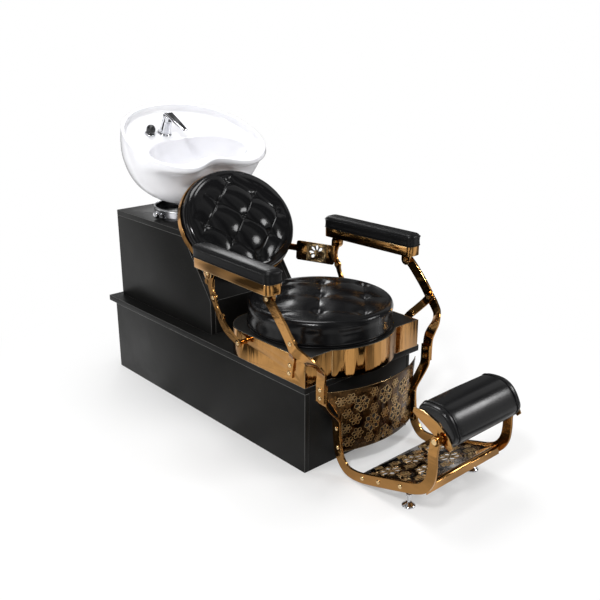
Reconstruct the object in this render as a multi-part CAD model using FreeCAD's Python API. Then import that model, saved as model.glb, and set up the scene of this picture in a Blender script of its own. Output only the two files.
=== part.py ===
"""Salon backwash unit: tufted chair, plinth, tilting bowl and flip-over footrest roll."""
import FreeCAD
import Part
import math
import os

os.makedirs("parts", exist_ok=True)
V = FreeCAD.Vector

# Driving dimensions in millimetres. X is right seen from the front, -Y is the front, Z is up.
BOARD = 18.0
PLINTH_LEFT = -250.0
PLINTH_RIGHT = 213.0
PLINTH_FRONT = -544.0
PLINTH_LENGTH = 1088.0
PLINTH_REAR = PLINTH_FRONT + PLINTH_LENGTH
PLINTH_TOP = 261.0
DECK_RIGHT = 260.0
DECK_REAR = PLINTH_REAR + 53.0
DECK_TOP = 281.0
PED_LEFT = -202.0
PED_RIGHT = 165.0
PED_FRONT = -17.0
PED_REAR = 572.0
PED_TOP = 617.0
SHEET = 3.0
APRON_HALF = 250.0
APRON_TOP = 372.0
APRON_REAR = -120.0
BULGE_R = 240.0
BULGE_Y = PLINTH_FRONT + 194.0
SEAT_Y = PLINTH_FRONT + 204.0
SEAT_R = 236.0
SEAT_STEP = 100.0
BACK_Y = 52.0
BACK_Z = 646.0
BACK_ANGLE = 54.0
BACK_R = 222.0
BACK_RATIO = 195.0 / 222.0
BACK_STEP_X = 78.0
BACK_STEP_U = 72.0
COLLAR_Y = 335.0
COLLAR_R = 156.0
AXLE_Z = PED_TOP + 20.0
AXLE_R = 6.0
RUN_FIT = 0.05
RIM_Y = 312.0
RIM_Z = 891.0
RIM_TILT = 26.1
RIM_A = 276.0
RIM_FRONT = 196.0
RIM_REAR = 245.0
BOWL_WALL = 13.0
DECK_DROP = 25.0
BAR_T = 8.0
BAR_W = 34.0
ARM_A = APRON_HALF + 54.0
TAIL_A = APRON_HALF + 24.0
LAP_A = APRON_HALF - 13.0
LEG_A = 170.0
PIVOT_Y = -967.0
PIVOT_Z = 255.0
BOLT_R = 4.0
FOOT_X = 150.0
FOOT_Y = -867.0


# Small shape helpers.
def block(x0, x1, y0, y1, z0, z1):
    return Part.makeBox(x1 - x0, y1 - y0, z1 - z0, V(x0, y0, z0))


def rod(base, direction, radius, length):
    return Part.makeCylinder(radius, length, V(*base), V(*direction))


def plate_yz(points, x0, x1):
    wire = Part.makePolygon([V(x0, y, z) for y, z in points + points[:1]])
    return Part.Face(wire).extrude(V(x1 - x0, 0, 0))


def join(shapes):
    return shapes[0].multiFuse(shapes[1:]).removeSplitter()


def mirror(shape):
    return shape.mirror(V(0, 0, 0), V(1, 0, 0))


def save(name, shape):
    shape.exportStep("parts/" + name + ".step")


def save_pair(name, shape):
    save(name + "_right", shape)
    save(name + "_left", mirror(shape))


def arc(p, q, r):
    return Part.Arc(V(*p), V(*q), V(*r)).toShape()


def line(p, q):
    return Part.makeLine(V(*p), V(*q))


def polygon(points):
    return Part.Face(Part.makePolygon([V(*p) for p in points + points[:1]]))


def facets(a, b, c, d):
    """The quad a b c d as one flat face, or as two triangles where it is twisted."""
    normal = (V(*b) - V(*a)).cross(V(*c) - V(*a))
    if normal.Length > 0 and abs((V(*d) - V(*a)).dot(normal.normalize())) < 1e-6:
        return [polygon([a, b, c, d])]
    return [polygon([a, b, c]), polygon([a, c, d])]


def skin(rings, loop=False):
    """A solid through rings of points; a looped skin closes on itself round a through hole."""
    faces = []
    count = len(rings[0])
    pairs = list(zip(rings, rings[1:] + rings[:1]))
    for low, high in pairs if loop else pairs[:-1]:
        for i in range(count):
            k = (i + 1) % count
            faces += facets(low[i], low[k], high[k], high[i])
    if not loop:
        faces += [polygon(rings[0]), polygon(rings[-1])]
    shell = Part.Shell(faces)
    shell.sewShape()
    solid = Part.Solid(shell)
    return solid if solid.Volume > 0 else solid.reversed()


def round_ring(r, z, sides, x=0.0, y=0.0, ratio=1.0):
    turns = [2 * math.pi * (i + 0.5) / sides for i in range(sides)]
    return [(x + r * math.cos(t), y + r * ratio * math.sin(t), z) for t in turns]


def turned(profile, sides, x=0.0, y=0.0, ratio=1.0, loop=False):
    return skin([round_ring(r, z, sides, x, y, ratio) for r, z in profile], loop)


def prism(y, z, low, high, radius, sides):
    """A many-sided pin along X."""
    turns = [2 * math.pi * (i + 0.5) / sides for i in range(sides)]
    points = [(low, y + radius * math.cos(t), z + radius * math.sin(t)) for t in turns]
    return polygon(points).extrude(V(high - low, 0, 0))


def softened(path, steps):
    out = []
    last = len(path) - 1
    for i in range(last):
        p0 = path[max(i - 1, 0)]
        p1 = path[i]
        p2 = path[i + 1]
        p3 = path[min(i + 2, last)]
        for k in range(steps):
            t = k / steps
            row = []
            for a, b, c, d in zip(p0, p1, p2, p3):
                bend = 2 * a - 5 * b + 4 * c - d
                turn = 3 * b - a - 3 * c + d
                row.append(b + 0.5 * t * (c - a + t * (bend + t * turn)))
            row[0] = min(max(row[0], min(p1[0], p2[0])), max(p1[0], p2[0]))
            out.append(row)
    out.append(list(path[last]))
    return out


def flat_bar(path, thick, steps=2):
    """A bar with its broad face across X, from (a, y, z, width) stations."""
    stations = softened(path, steps)
    rings = []
    for i, (a, y, z, width) in enumerate(stations):
        before = stations[max(i - 1, 0)]
        after = stations[min(i + 1, len(stations) - 1)]
        ty = after[1] - before[1]
        tz = after[2] - before[2]
        size = math.hypot(ty, tz)
        ny = -tz / size * width / 2
        nz = ty / size * width / 2
        low = a - thick / 2
        high = a + thick / 2
        ring = [(low, y + ny, z + nz), (high, y + ny, z + nz)]
        rings.append(ring + [(high, y - ny, z - nz), (low, y - ny, z - nz)])
    return skin(rings)


def bolt(y, z, low, high, nutted=True):
    """A dome-headed bolt along X, with its nut on the inner side where there is room."""
    pieces = [prism(y, z, low, high, BOLT_R, 6)]
    pieces.append(prism(y, z, high, high + 3.6, 7.0, 8))
    if nutted:
        pieces.append(prism(y, z, low - 5, low, 7.0, 6))
    return join(pieces)


def hole(y, z, low, high):
    return prism(y, z, low, high, BOLT_R, 6)


def petal(cx, cy, turn, inner, outer, half):
    """A leaf-shaped cutter from z = -40 to 40, standing off a rosette's middle."""
    c = math.cos(turn)
    s = math.sin(turn)
    length = outer - inner
    points = []
    for along, across in ((0, 0), (0.3, 0.8), (0.62, 1), (1, 0), (0.62, -1), (0.3, -0.8)):
        u = inner + length * along
        v = half * across
        points.append((cx + c * u - s * v, cy + s * u + c * v, -40))
    return polygon(points).extrude(V(0, 0, 80))


def rosette(cx, cy, inner, outer, half, count, turn=0.0):
    return [petal(cx, cy, turn + i * 2 * math.pi / count, inner, outer, half)
            for i in range(count)]


def place(shape, origin, x_axis, y_axis):
    """Put a shape drawn in the XY plane on the plane with these two axes."""
    x = V(*x_axis).normalize()
    z = x.cross(V(*y_axis)).normalize()
    y = z.cross(x)
    matrix = FreeCAD.Matrix(x.x, y.x, z.x, origin[0], x.y, y.y, z.y, origin[1],
                            x.z, y.z, z.z, origin[2], 0, 0, 0, 1)
    out = shape.copy()
    out.Placement = FreeCAD.Placement(matrix)
    return out


# Plinth boards. The pipes rise through the openings in the bottom board and the deck.
panel = block(PLINTH_LEFT, PLINTH_LEFT + BOARD, PLINTH_FRONT, PLINTH_REAR, 0, PLINTH_TOP)
save("plinth_left_panel", panel)
panel = block(PLINTH_RIGHT - BOARD, PLINTH_RIGHT, PLINTH_FRONT, PLINTH_REAR, 0, PLINTH_TOP)
save("plinth_right_panel", panel)
IN_LEFT = PLINTH_LEFT + BOARD
IN_RIGHT = PLINTH_RIGHT - BOARD
ends = [block(IN_LEFT, IN_RIGHT, PLINTH_FRONT, PLINTH_FRONT + BOARD, 0, PLINTH_TOP)]
ends.append(block(IN_LEFT, IN_RIGHT, PLINTH_REAR - BOARD, PLINTH_REAR, 0, PLINTH_TOP))
save("plinth_end_panels", Part.makeCompound(ends))
bottom = block(IN_LEFT, IN_RIGHT, PLINTH_FRONT + BOARD, PLINTH_REAR - BOARD, 0, BOARD)
save("plinth_bottom_board", bottom.cut(block(-80, 80, 240, 430, -1, BOARD + 1)))
deck = block(PLINTH_LEFT, DECK_RIGHT, PLINTH_FRONT, DECK_REAR, PLINTH_TOP, DECK_TOP)
rounded = [e for e in deck.Edges if abs(e.BoundBox.ZLength) > 5]
deck = deck.makeFillet(4, rounded)
save("deck_board", deck.cut(block(-80, 80, 240, 430, PLINTH_TOP - 1, DECK_TOP + 1)))

# Pedestal boards. The front leans back at the angle of the backrest.
TURN = math.radians(BACK_ANGLE)
U = (0.0, math.cos(TURN), math.sin(TURN))
N = (0.0, -math.sin(TURN), math.cos(TURN))


def back_point(x, u, n):
    return (x, BACK_Y + U[1] * u + N[1] * n, BACK_Z + U[2] * u + N[2] * n)


RAKE_N = -89.0
rake_low = back_point(0, (PED_FRONT - BACK_Y - N[1] * RAKE_N) / U[1], RAKE_N)
RAKE_Z = rake_low[2]
SHELF = PED_TOP - 20.0


def rake_y(z):
    return PED_FRONT + (z - RAKE_Z) * U[1] / U[2]


side = [(PED_FRONT, DECK_TOP), (PED_FRONT, RAKE_Z), (rake_y(SHELF), SHELF)]
side += [(PED_REAR, SHELF), (PED_REAR, DECK_TOP)]
save("pedestal_left_panel", plate_yz(side, PED_LEFT, PED_LEFT + BOARD))
save("pedestal_right_panel", plate_yz(side, PED_RIGHT - BOARD, PED_RIGHT))
PIN_LEFT = PED_LEFT + BOARD
PIN_RIGHT = PED_RIGHT - BOARD
save("pedestal_kick_panel", block(PIN_LEFT, PIN_RIGHT, PED_FRONT, PED_FRONT + BOARD, DECK_TOP, RAKE_Z))
lean = BOARD / U[2]
rake = [(PED_FRONT, RAKE_Z), (rake_y(SHELF), SHELF)]
rake += [(rake_y(SHELF) + lean, SHELF), (PED_FRONT + lean, RAKE_Z)]
save("pedestal_raked_board", plate_yz(rake, PIN_LEFT, PIN_RIGHT))
top = plate_yz([(rake_y(SHELF), SHELF), (rake_y(PED_TOP), PED_TOP), (PED_REAR, PED_TOP), (PED_REAR, SHELF)],
               PED_LEFT, PED_RIGHT)
save("pedestal_top_board", top.cut(turned([(62, SHELF - 1), (62, PED_TOP + 1)], 32, 0, COLLAR_Y)))
service = block(PIN_LEFT, PIN_RIGHT, PED_REAR - BOARD, PED_REAR, DECK_TOP, SHELF)


def pin_y(x, z, low, high, radius, sides):
    """A many-sided pin along Y."""
    turns = [2 * math.pi * (i + 0.5) / sides for i in range(sides)]
    points = [(x + radius * math.cos(t), low, z + radius * math.sin(t)) for t in turns]
    return polygon(points).extrude(V(0, high - low, 0))


service = service.cut(pin_y(-18, 540, PED_REAR - 30, PED_REAR + 10, 16, 16))
screws = []
for sx in (PIN_LEFT + 18, PIN_RIGHT - 18):
    for sz in (DECK_TOP + 22, SHELF - 22):
        shank = pin_y(sx, sz, PED_REAR - BOARD, PED_REAR, 2.5, 6)
        service = service.cut(shank)
        screws.append(shank.fuse(pin_y(sx, sz, PED_REAR, PED_REAR + 2.4, 6, 10)).removeSplitter())
save("rear_service_panel", service)
save("service_screws", Part.makeCompound(screws))

# Bowl stand: collar, trim ring, saddle with two stub pins, carrier under the bowl.
KNOB_Z = 634.0
collar = [(COLLAR_R + 4, PED_TOP), (COLLAR_R + 4, PED_TOP + 5), (COLLAR_R, PED_TOP + 8), (COLLAR_R, 646)]
collar += [(COLLAR_R - 5, 646), (COLLAR_R - 5, PED_TOP)]
collar = turned(collar, 30, 0, COLLAR_Y, 1, True)
collar = collar.cut(rod((-COLLAR_R - 8, COLLAR_Y, KNOB_Z), (1, 0, 0), 4 + RUN_FIT, 30))
save("bowl_collar", collar)
trim = [(COLLAR_R + 1, 646), (COLLAR_R, 649.5), (COLLAR_R - 2.5, 651)]
trim += [(COLLAR_R - 5, 649.5), (COLLAR_R - 6, 646)]
save("collar_trim_ring", turned(trim, 30, 0, COLLAR_Y, 1, True))
saddle = block(-100, 100, COLLAR_Y - 62, COLLAR_Y + 62, PED_TOP, PED_TOP + 6)
saddle = saddle.cut(turned([(46, PED_TOP - 1), (46, PED_TOP + 8)], 24, 0, COLLAR_Y))
ears = []
for sx in (62.0, -72.0):
    ear = block(sx, sx + 10, COLLAR_Y - 22, COLLAR_Y + 22, PED_TOP + 5, AXLE_Z)
    ears.append(ear.fuse(prism(COLLAR_Y, AXLE_Z, sx, sx + 10, 13, 16)))
saddle = join([saddle] + ears)
saddle = saddle.cut(rod((-80, COLLAR_Y, AXLE_Z), (1, 0, 0), AXLE_R, 160))
save("tilt_saddle", saddle)
pins = []
for sx in (1, -1):
    pin = rod((sx * 46, COLLAR_Y, AXLE_Z), (sx, 0, 0), AXLE_R, 26)
    ends = sorted((sx * 72, sx * 76))
    pins.append(pin.fuse(prism(COLLAR_Y, AXLE_Z, ends[0], ends[1], 9, 12)).removeSplitter())
save("tilt_pins", Part.makeCompound(pins))
CARRIER_Z = 656.0
carrier = turned([(82, CARRIER_Z), (82, CARRIER_Z + 8)], 32, 0, COLLAR_Y)
lugs = []
for sx in (48.0, -58.0):
    lug = block(sx, sx + 10, COLLAR_Y - 13, COLLAR_Y + 13, AXLE_Z, CARRIER_Z + 2)
    lugs.append(lug.fuse(prism(COLLAR_Y, AXLE_Z, sx, sx + 10, 13, 16)))
carrier = join([carrier] + lugs)
carrier = carrier.cut(rod((-80, COLLAR_Y, AXLE_Z), (1, 0, 0), AXLE_R + RUN_FIT, 160))
save("bowl_carrier", carrier.cut(turned([(34, CARRIER_Z - 1), (34, CARRIER_Z + 12)], 24, 0, COLLAR_Y)))
knob = prism(COLLAR_Y, KNOB_Z, -184, -168, 12, 16)
knob = knob.makeChamfer(2.5, [e for e in knob.Edges if e.BoundBox.XLength < 0.1])
knob = knob.fuse(rod((-170, COLLAR_Y, KNOB_Z), (1, 0, 0), 4, 24)).removeSplitter()
save("tilt_lock_knob", knob)

# Ceramic bowl: lofted egg with a neck notch, a rear deck and a wash basin, open underneath.
SQUARE = 2.15
BOWL_ROWS = [
    (0.00, 312.0, 891.0, 1.000, 62.0, 196.0), (0.12, 311.0, 862.0, 1.014, 61.0, 180.0),
    (0.30, 312.0, 818.0, 1.000, 40.0, 122.0), (0.50, 316.0, 766.0, 0.920, 12.0, 96.0),
    (0.68, 323.0, 722.0, 0.780, 0.0, 98.0), (0.84, 330.0, 688.0, 0.580, 0.0, 94.0),
    (0.94, 334.0, 671.0, 0.420, 0.0, 82.0), (1.00, 335.0, 664.0, 0.325, 0.0, 63.7)]


SIDES = 30


def oval(cx, cy, cz, tilt, half, front, rear, notch):
    points = []
    c = math.cos(math.radians(tilt))
    s = math.sin(math.radians(tilt))
    for i in range(SIDES):
        t = 2 * math.pi * i / SIDES
        x = half * math.copysign(abs(math.cos(t)) ** (2 / SQUARE), math.cos(t))
        reach = rear if math.sin(t) > 0 else front
        w = reach * math.copysign(abs(math.sin(t)) ** (2 / SQUARE), math.sin(t))
        if w < 0:
            w += notch * math.exp(-(x / 88.0) ** 2)
        points.append((cx + x, cy + c * w, cz + s * w))
    return points


tilt_c = math.cos(math.radians(RIM_TILT))
tilt_s = math.sin(math.radians(RIM_TILT))
RIM_W = (0.0, tilt_c, tilt_s)
RIM_M = (0.0, -tilt_s, tilt_c)


def rim_point(x, w, m):
    return (x, RIM_Y + RIM_W[1] * w + RIM_M[1] * m, RIM_Z + RIM_W[2] * w + RIM_M[2] * m)


def rim_ring(inset, m, notch):
    x, y, z = rim_point(0, 0, m)
    return oval(0, y, z, RIM_TILT, RIM_A - inset, RIM_FRONT - inset, RIM_REAR - inset, notch)


def wall_rings(rows, inset, lift):
    out = []
    for t, y, z, scale, notch, front in rows:
        tilt = RIM_TILT * (1 - t) ** 1.15
        half = RIM_A * scale - inset
        rear = RIM_REAR * scale - inset
        out.append(oval(0, y, z + lift * t, tilt, half, front - inset, rear, notch))
    return out


BASIN_W = -26.0
BASIN_DEEP = 132.0
BASIN_ROWS = [(0.0, 1.00), (0.05, 0.985), (0.2, 0.96), (0.48, 0.88), (0.76, 0.68), (0.93, 0.40), (1.0, 0.17)]


def basin_rings(grow, down):
    out = []
    for lift, scale in BASIN_ROWS:
        x, y, z = rim_point(0, BASIN_W - 19 * lift, -DECK_DROP - down - BASIN_DEEP * lift)
        tilt = RIM_TILT * (1 - 0.75 * lift)
        notch = 44.0 * max(1 - 1.3 * lift, 0)
        out.append(oval(x, y, z, tilt, 206 * scale + grow, 96 * scale + grow, 82 * scale + grow, notch))
    return out


drain = rim_point(0, BASIN_W - 19, -DECK_DROP - BASIN_DEEP)
DRAIN_Y = drain[1]
DRAIN_Z = drain[2]
PLATE = 11.0
loop = wall_rings(BOWL_ROWS[::-1], 0, 0)
loop += [rim_ring(3, 3, 62.0), rim_ring(10, 3, 62.0), rim_ring(BOWL_WALL, 0, 62.0)]
loop.append(rim_ring(BOWL_WALL + 4, -DECK_DROP, 62.0))
loop += basin_rings(0, 0)
loop.append(round_ring(23, DRAIN_Z, SIDES, 0, DRAIN_Y))
loop.append(round_ring(23, DRAIN_Z - PLATE, SIDES, 0, DRAIN_Y))
loop += basin_rings(9, PLATE)[::-1]
loop.append(rim_ring(BOWL_WALL + 9, -DECK_DROP - PLATE, 62.0))
loop += wall_rings(BOWL_ROWS[2:-1], BOWL_WALL - 2, 10)
loop.append(round_ring(60, 672, SIDES, 0, COLLAR_Y))
loop.append(round_ring(60, 664, SIDES, 0, COLLAR_Y))
bowl = skin(loop, True)
MIX = rim_point(-79, 92, -DECK_DROP)
SPRAY = rim_point(-140, 92, -DECK_DROP)


def on_deck(shape, at):
    return place(shape, at, (1, 0, 0), RIM_W)


bowl = bowl.cut(on_deck(turned([(14, -40), (14, 30)], 16), SPRAY))
bowl = bowl.cut(on_deck(turned([(12, -40), (12, 30)], 16), MIX))
save("bowl", bowl)

# Waste fitting under the basin.
LOW = DRAIN_Z - 8
grate = turned([(23, LOW), (23, LOW + 8)], SIDES, 0, DRAIN_Y)
for i in range(6):
    turn = i * math.pi / 3
    at_x = 12 * math.cos(turn)
    at_y = DRAIN_Y + 12 * math.sin(turn)
    grate = grate.cut(turned([(3.2, LOW - 9), (3.2, LOW + 9)], 8, at_x, at_y))
neck = turned([(19, 660), (19, LOW), (16.5, LOW), (16.5, 660)], 24, 0, DRAIN_Y, 1, True)
save("waste_strainer", grate.fuse(neck).removeSplitter())
waste_nut = turned([(29, 692), (29, 704)], 6, 0, DRAIN_Y).cut(turned([(19, 690), (19, 710)], 24, 0, DRAIN_Y))
tail = rod((0, DRAIN_Y, 560), (0, 0, 1), 22, 122).cut(turned([(19, 559), (19, 690)], 24, 0, DRAIN_Y))
save("waste_tail", tail)


# Mixer and handset, drawn upright on the bowl's rear deck and then laid on its slope.
body = turned([(12, -34), (12, 0), (26, 0), (26, 4), (21, 6), (18.5, 52)], 16)
body = body.fuse(rod((0, 0, 48), (0, 0, 1), 8, 7.5)).removeSplitter()
save("mixer_body", on_deck(body, MIX))
back_nut = turned([(20, -21), (20, -11), (12, -11), (12, -21)], 16, 0, 0, 1, True)
save("bowl_nuts", Part.makeCompound([waste_nut, on_deck(back_nut, MIX)]))
head = turned([(18.5, 52), (18.5, 72), (16.5, 74)], 16).cut(block(-7, 7, -30, 9, 57, 80))
head = head.fuse(rod((-16, 0, 66), (1, 0, 0), 2.5, 32)).removeSplitter()
head = head.cut(rod((0, 0, 50), (0, 0, 1), 8 + RUN_FIT, 6))
save("mixer_head", on_deck(head, MIX))
tongue = join([block(-6.5, 6.5, -14, 5, 66, 80), prism(0, 66, -6.5, 6.5, 6.5, 16)])
paddle = [(-16, 4, 76.5), (16, 4, 76.5), (14, -60, 76.5)]
paddle = polygon(paddle + [(10, -112, 76.5), (-10, -112, 76.5), (-14, -60, 76.5)])
paddle = paddle.extrude(V(0, 0, 8))
paddle = paddle.makeChamfer(2.5, [e for e in paddle.Edges if e.BoundBox.ZMin > 84])
lever = join([tongue, paddle]).cut(rod((-20, 0, 66), (1, 0, 0), 2.5 + RUN_FIT, 40))
save("mixer_lever", on_deck(lever, MIX))
socket = turned([(19, 0), (19, 5), (16.5, 8), (11.6, 8), (11.6, 0)], 24, 0, 0, 1, True)
save("handset_socket", on_deck(socket, SPRAY))
spray = turned([(11, -58), (11, 8), (14.5, 8), (16, 24), (14, 31), (9, 36), (3, 38)], 24)
save("handset", on_deck(spray, SPRAY))

# Seat apron of bent sheet with a bulged front, on the deck.
def apron_wire(inset, z):
    half = APRON_HALF - inset
    front = PLINTH_FRONT + inset
    r = BULGE_R - inset
    cusp = math.sqrt(r * r - (front - BULGE_Y) ** 2)
    corner = 120.0
    mid = corner * (1 - math.sqrt(0.5)) + inset * math.sqrt(0.5)
    rear = APRON_REAR - inset
    side_end = APRON_REAR - corner
    edges = [line((-half, front, z), (-cusp, front, z))]
    edges.append(arc((-cusp, front, z), (0, BULGE_Y - r, z), (cusp, front, z)))
    edges.append(line((cusp, front, z), (half, front, z)))
    edges.append(line((half, front, z), (half, side_end, z)))
    edges.append(arc((half, side_end, z), (APRON_HALF - mid, APRON_REAR - mid, z),
                     (APRON_HALF - corner, rear, z)))
    edges.append(line((APRON_HALF - corner, rear, z), (corner - APRON_HALF, rear, z)))
    edges.append(arc((corner - APRON_HALF, rear, z), (mid - APRON_HALF, APRON_REAR - mid, z),
                     (-half, side_end, z)))
    edges.append(line((-half, side_end, z), (-half, front, z)))
    return Part.Wire(edges)


def apron_solid(inset, low, high):
    return Part.Face(apron_wire(inset, low)).extrude(V(0, 0, high - low))


STRAP_BOLTS = [(-484.0, 338.0), (-480.5, 312.0)]
TAIL_BOLT = (-262.0, 346.0)
apron = apron_solid(0, DECK_TOP, APRON_TOP).cut(apron_solid(SHEET, DECK_TOP, APRON_TOP))
for by, bz in STRAP_BOLTS + [TAIL_BOLT]:
    apron = apron.cut(hole(by, bz, -APRON_HALF - 10, APRON_HALF + 10))
save("seat_apron", apron)
save("seat_board", apron_solid(SHEET, APRON_TOP - 16, APRON_TOP))
battens = [block(sx, sx + 36, -500, -215, DECK_TOP, APRON_TOP - 16) for sx in (-190, 154)]
save("seat_battens", Part.makeCompound(battens))


# Tufted cushions: crowned top, drawn-in side, sewn dimples and pleats.
def crown_height(r, edge, low, high):
    drop = high - low
    bend = (edge * edge + drop * drop) / (2 * drop)
    return high - bend + math.sqrt(bend * bend - r * r)


def tufted(radius, base, waist, edge_z, high, ratio, step_x, step_y):
    edge = radius - 9
    rows = [(radius - 12, base), (radius - 3, base + 4), (radius, base + 13)]
    rows += [(radius - 4, waist), (radius, edge_z - 12)]
    rows += [(radius - 2.5, edge_z - 4)]
    for r in (edge, edge * 0.82, edge * 0.6, edge * 0.36, edge * 0.12):
        rows.append((r, crown_height(r, edge, edge_z, high)))
    solid = turned(rows, 32, 0, 0, ratio)

    def top_at(x, y):
        return crown_height(min(math.hypot(x, y / ratio), edge), edge, edge_z, high)

    spots = [(i, j) for i in range(-2, 3) for j in range(-2, 3) if (i + j) % 2 == 0 and abs(i) + abs(j) <= 2]
    cutters = []
    buttons = []
    for i, j in spots:
        x = i * step_x
        y = j * step_y
        z = top_at(x, y)
        cutters.append(turned([(8.5, z - 13), (11, z - 11), (21, z - 4), (34, z + 2), (34, z + 9)], 10, x, y))
        buttons.append(turned([(8, z - 13), (8, z - 10), (5, z - 8)], 8, x, y))
        for di, dj in ((1, 1), (1, -1)):
            if (i + di, j + dj) in spots:
                cutters.append(groove((x, y), ((i + di) * step_x, (j + dj) * step_y), top_at))
        if (i, j) != (0, 0):
            grow = (radius + 6) / math.hypot(x, y / ratio)
            cutters.append(groove((x, y), (x * grow, y * grow), top_at))
    for cutter in cutters:
        solid = solid.cut(cutter)
    return solid.removeSplitter(), Part.makeCompound(buttons)


def groove(p, q, top_at):
    """A V-shaped cutter along a sewn line from p to q on the crown."""
    run = math.hypot(q[0] - p[0], q[1] - p[1])
    ox = -(q[1] - p[1]) / run * 7
    oy = (q[0] - p[0]) / run * 7
    rings = []
    for x, y in (p, q):
        z = top_at(x, y)
        rings.append([(x - ox, y - oy, z + 2.5), (x, y, z - 4.5), (x + ox, y + oy, z + 2.5)])
    return skin(rings)


cushion, buttons = tufted(SEAT_R, 0, 40, 78, 94, 1, SEAT_STEP, SEAT_STEP)
for name, shape in (("seat_cushion", cushion), ("seat_buttons", buttons)):
    shape.translate(V(0, SEAT_Y, APRON_TOP))
    save(name, shape)


def on_back(shape):
    return place(shape, (0, BACK_Y, BACK_Z), (1, 0, 0), U)


cushion, buttons = tufted(BACK_R, -58, -30, -6, 14, BACK_RATIO, BACK_STEP_X, BACK_STEP_U)
save("back_cushion", on_back(cushion))
save("back_buttons", on_back(buttons))

# Back shell: a shallow sheet pan round the back cushion, on two blocks against the raked board.
pan = [(BACK_R + 2, -58), (BACK_R + 2, -40), (BACK_R + 5, -40), (BACK_R + 5, -62), (30, -62), (30, -58)]
pan = turned(pan, 32, 0, 0, (BACK_R * BACK_RATIO + 2) / (BACK_R + 2), True)
shell = on_back(pan)
save("back_shell", shell)
blocks = [block(sx, sx + 60, -150, 20, RAKE_N, -62) for sx in (-150, 90)]
save("back_blocks", on_back(Part.makeCompound(blocks)))

# Arms: leather pads on channels with two lugs each.
ARM_YAW = math.degrees(math.atan2(16, 400))


def arm_ring(inset, z):
    r = max(22.0 - inset, 2.0)
    half = 32 - inset - r
    front = -400 + inset + r
    corners = ((half, -inset - r, 0), (-half, -inset - r, 90), (-half, front, 180), (half, front, 270))
    points = []
    for cx, cy, start in corners:
        for k in range(6):
            t = math.radians(start + 18 * k)
            points.append((cx + r * math.cos(t), cy + r * math.sin(t), z))
    return points


def on_arm(shape):
    out = shape.copy()
    out.rotate(V(0, 0, 0), V(0, 0, 1), ARM_YAW)
    out.translate(V(APRON_HALF + 34, -80, 0))
    return out


PAD_ROWS = ((4, 596), (0, 600), (1.2, 612), (0, 624), (3, 631), (9, 636), (18, 638))
pad = skin([arm_ring(inset, z) for inset, z in PAD_ROWS])
save_pair("arm_pad", on_arm(pad))
channel = skin([arm_ring(2, 564), arm_ring(2, 596)]).cut(skin([arm_ring(6, 563), arm_ring(6, 592)]))
FRONT_LUG = (-444.0, 546.0)
REAR_LUG = (-130.0, 546.0)
front_lug = block(ARM_A - 16, ARM_A - 4, -462, -426, 546, 593)
front_lug = front_lug.fuse(prism(-444, 546, ARM_A - 16, ARM_A - 4, 18, 16))
rear_lug = block(TAIL_A + 4, TAIL_A + 16, -150, -110, 546, 593)
rear_lug = rear_lug.fuse(prism(-130, 546, TAIL_A + 4, TAIL_A + 16, 20, 16))
channel = join([on_arm(channel), front_lug, rear_lug])
channel = channel.cut(hole(*FRONT_LUG, ARM_A - 34, ARM_A + 16)).cut(hole(*REAR_LUG, TAIL_A - 14, TAIL_A + 46))
save_pair("arm_channel", channel)

# Flat side bars. The arm bar jogs inward past the apron corner and laps on the leg bar.
ELBOW = (-544.0, 438.0)
LAP_BOLTS = [(-598.0, 294.0), (-598.0, 268.0)]
arm_path = [(ARM_A, -444, 546, BAR_W), (ARM_A, -470, 523, BAR_W)]
arm_path += [(ARM_A, -515, 475, BAR_W), (ARM_A, -544, 438, BAR_W)]
arm_path += [(ARM_A, -553, 428, BAR_W), (ARM_A - 3, -566, 416, BAR_W), (ARM_A - 16, -588, 399, BAR_W)]
arm_path += [(LAP_A + 27, -603, 377, BAR_W), (LAP_A + 6, -605, 354, BAR_W), (LAP_A, -601, 333, BAR_W)]
arm_path += [(LAP_A, -598, 308, BAR_W), (LAP_A, -598, 254, BAR_W)]
arm_bar = flat_bar(arm_path, BAR_T).fuse(prism(-444, 546, ARM_A - 4, ARM_A + 4, 17, 16)).removeSplitter()
for by, bz in [FRONT_LUG, ELBOW]:
    arm_bar = arm_bar.cut(hole(by, bz, ARM_A - 14, ARM_A + 16))
for by, bz in LAP_BOLTS:
    arm_bar = arm_bar.cut(hole(by, bz, LAP_A - 22, LAP_A + 23))
save_pair("arm_bar", arm_bar)
PANEL_BOLTS = [(-598.5, 146.0), (-606.0, 86.0)]
TRAY_BOLTS = [(-711.0, 27.5), (-774.0, 43.5), (-856.0, 67.8)]
LEG_TOP = LAP_A - BAR_T
leg_path = [(LEG_TOP, -598, 306, BAR_W), (LEG_TOP, -598, 280, BAR_W), (LEG_TOP, -598, 254, BAR_W)]
leg_path += [(LEG_TOP - 5, -598, 236, BAR_W), ((LEG_TOP + LEG_A) / 2, -597, 205, 33)]
leg_path.append((LEG_A + 7, -597, 180, 32))
leg_path += [(LEG_A, y, z, width) for y, z, width in (
    (-598, 162, 32), (-599, 140, 32), (-602, 110, 32), (-608, 75, 32), (-622, 46, 32),
    (-648, 25, 32), (-690, 23, 32), (-740, 34, 32), (-800, 51, 32), (-860, 69, 32),
    (-905, 83, 32), (-938, 103, 32), (-957, 135, 31), (-962, 175, 30), (-961, 212, 30),
    (PIVOT_Y, PIVOT_Z, 30))]
leg_eye = prism(PIVOT_Y, PIVOT_Z, LEG_A - 4, LEG_A + 4, 15, 16)
leg_bar = flat_bar(leg_path, BAR_T).fuse(leg_eye).removeSplitter()
for by, bz in LAP_BOLTS:
    leg_bar = leg_bar.cut(hole(by, bz, LAP_A - 22, LAP_A + 23))
for by, bz in PANEL_BOLTS + TRAY_BOLTS:
    leg_bar = leg_bar.cut(hole(by, bz, LEG_A - 20, LEG_A + 20))
leg_bar = leg_bar.cut(rod((150, PIVOT_Y, PIVOT_Z), (1, 0, 0), 5 + RUN_FIT, 40))
save_pair("leg_bar", leg_bar)
STRAP_A = APRON_HALF + 3.0
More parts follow.
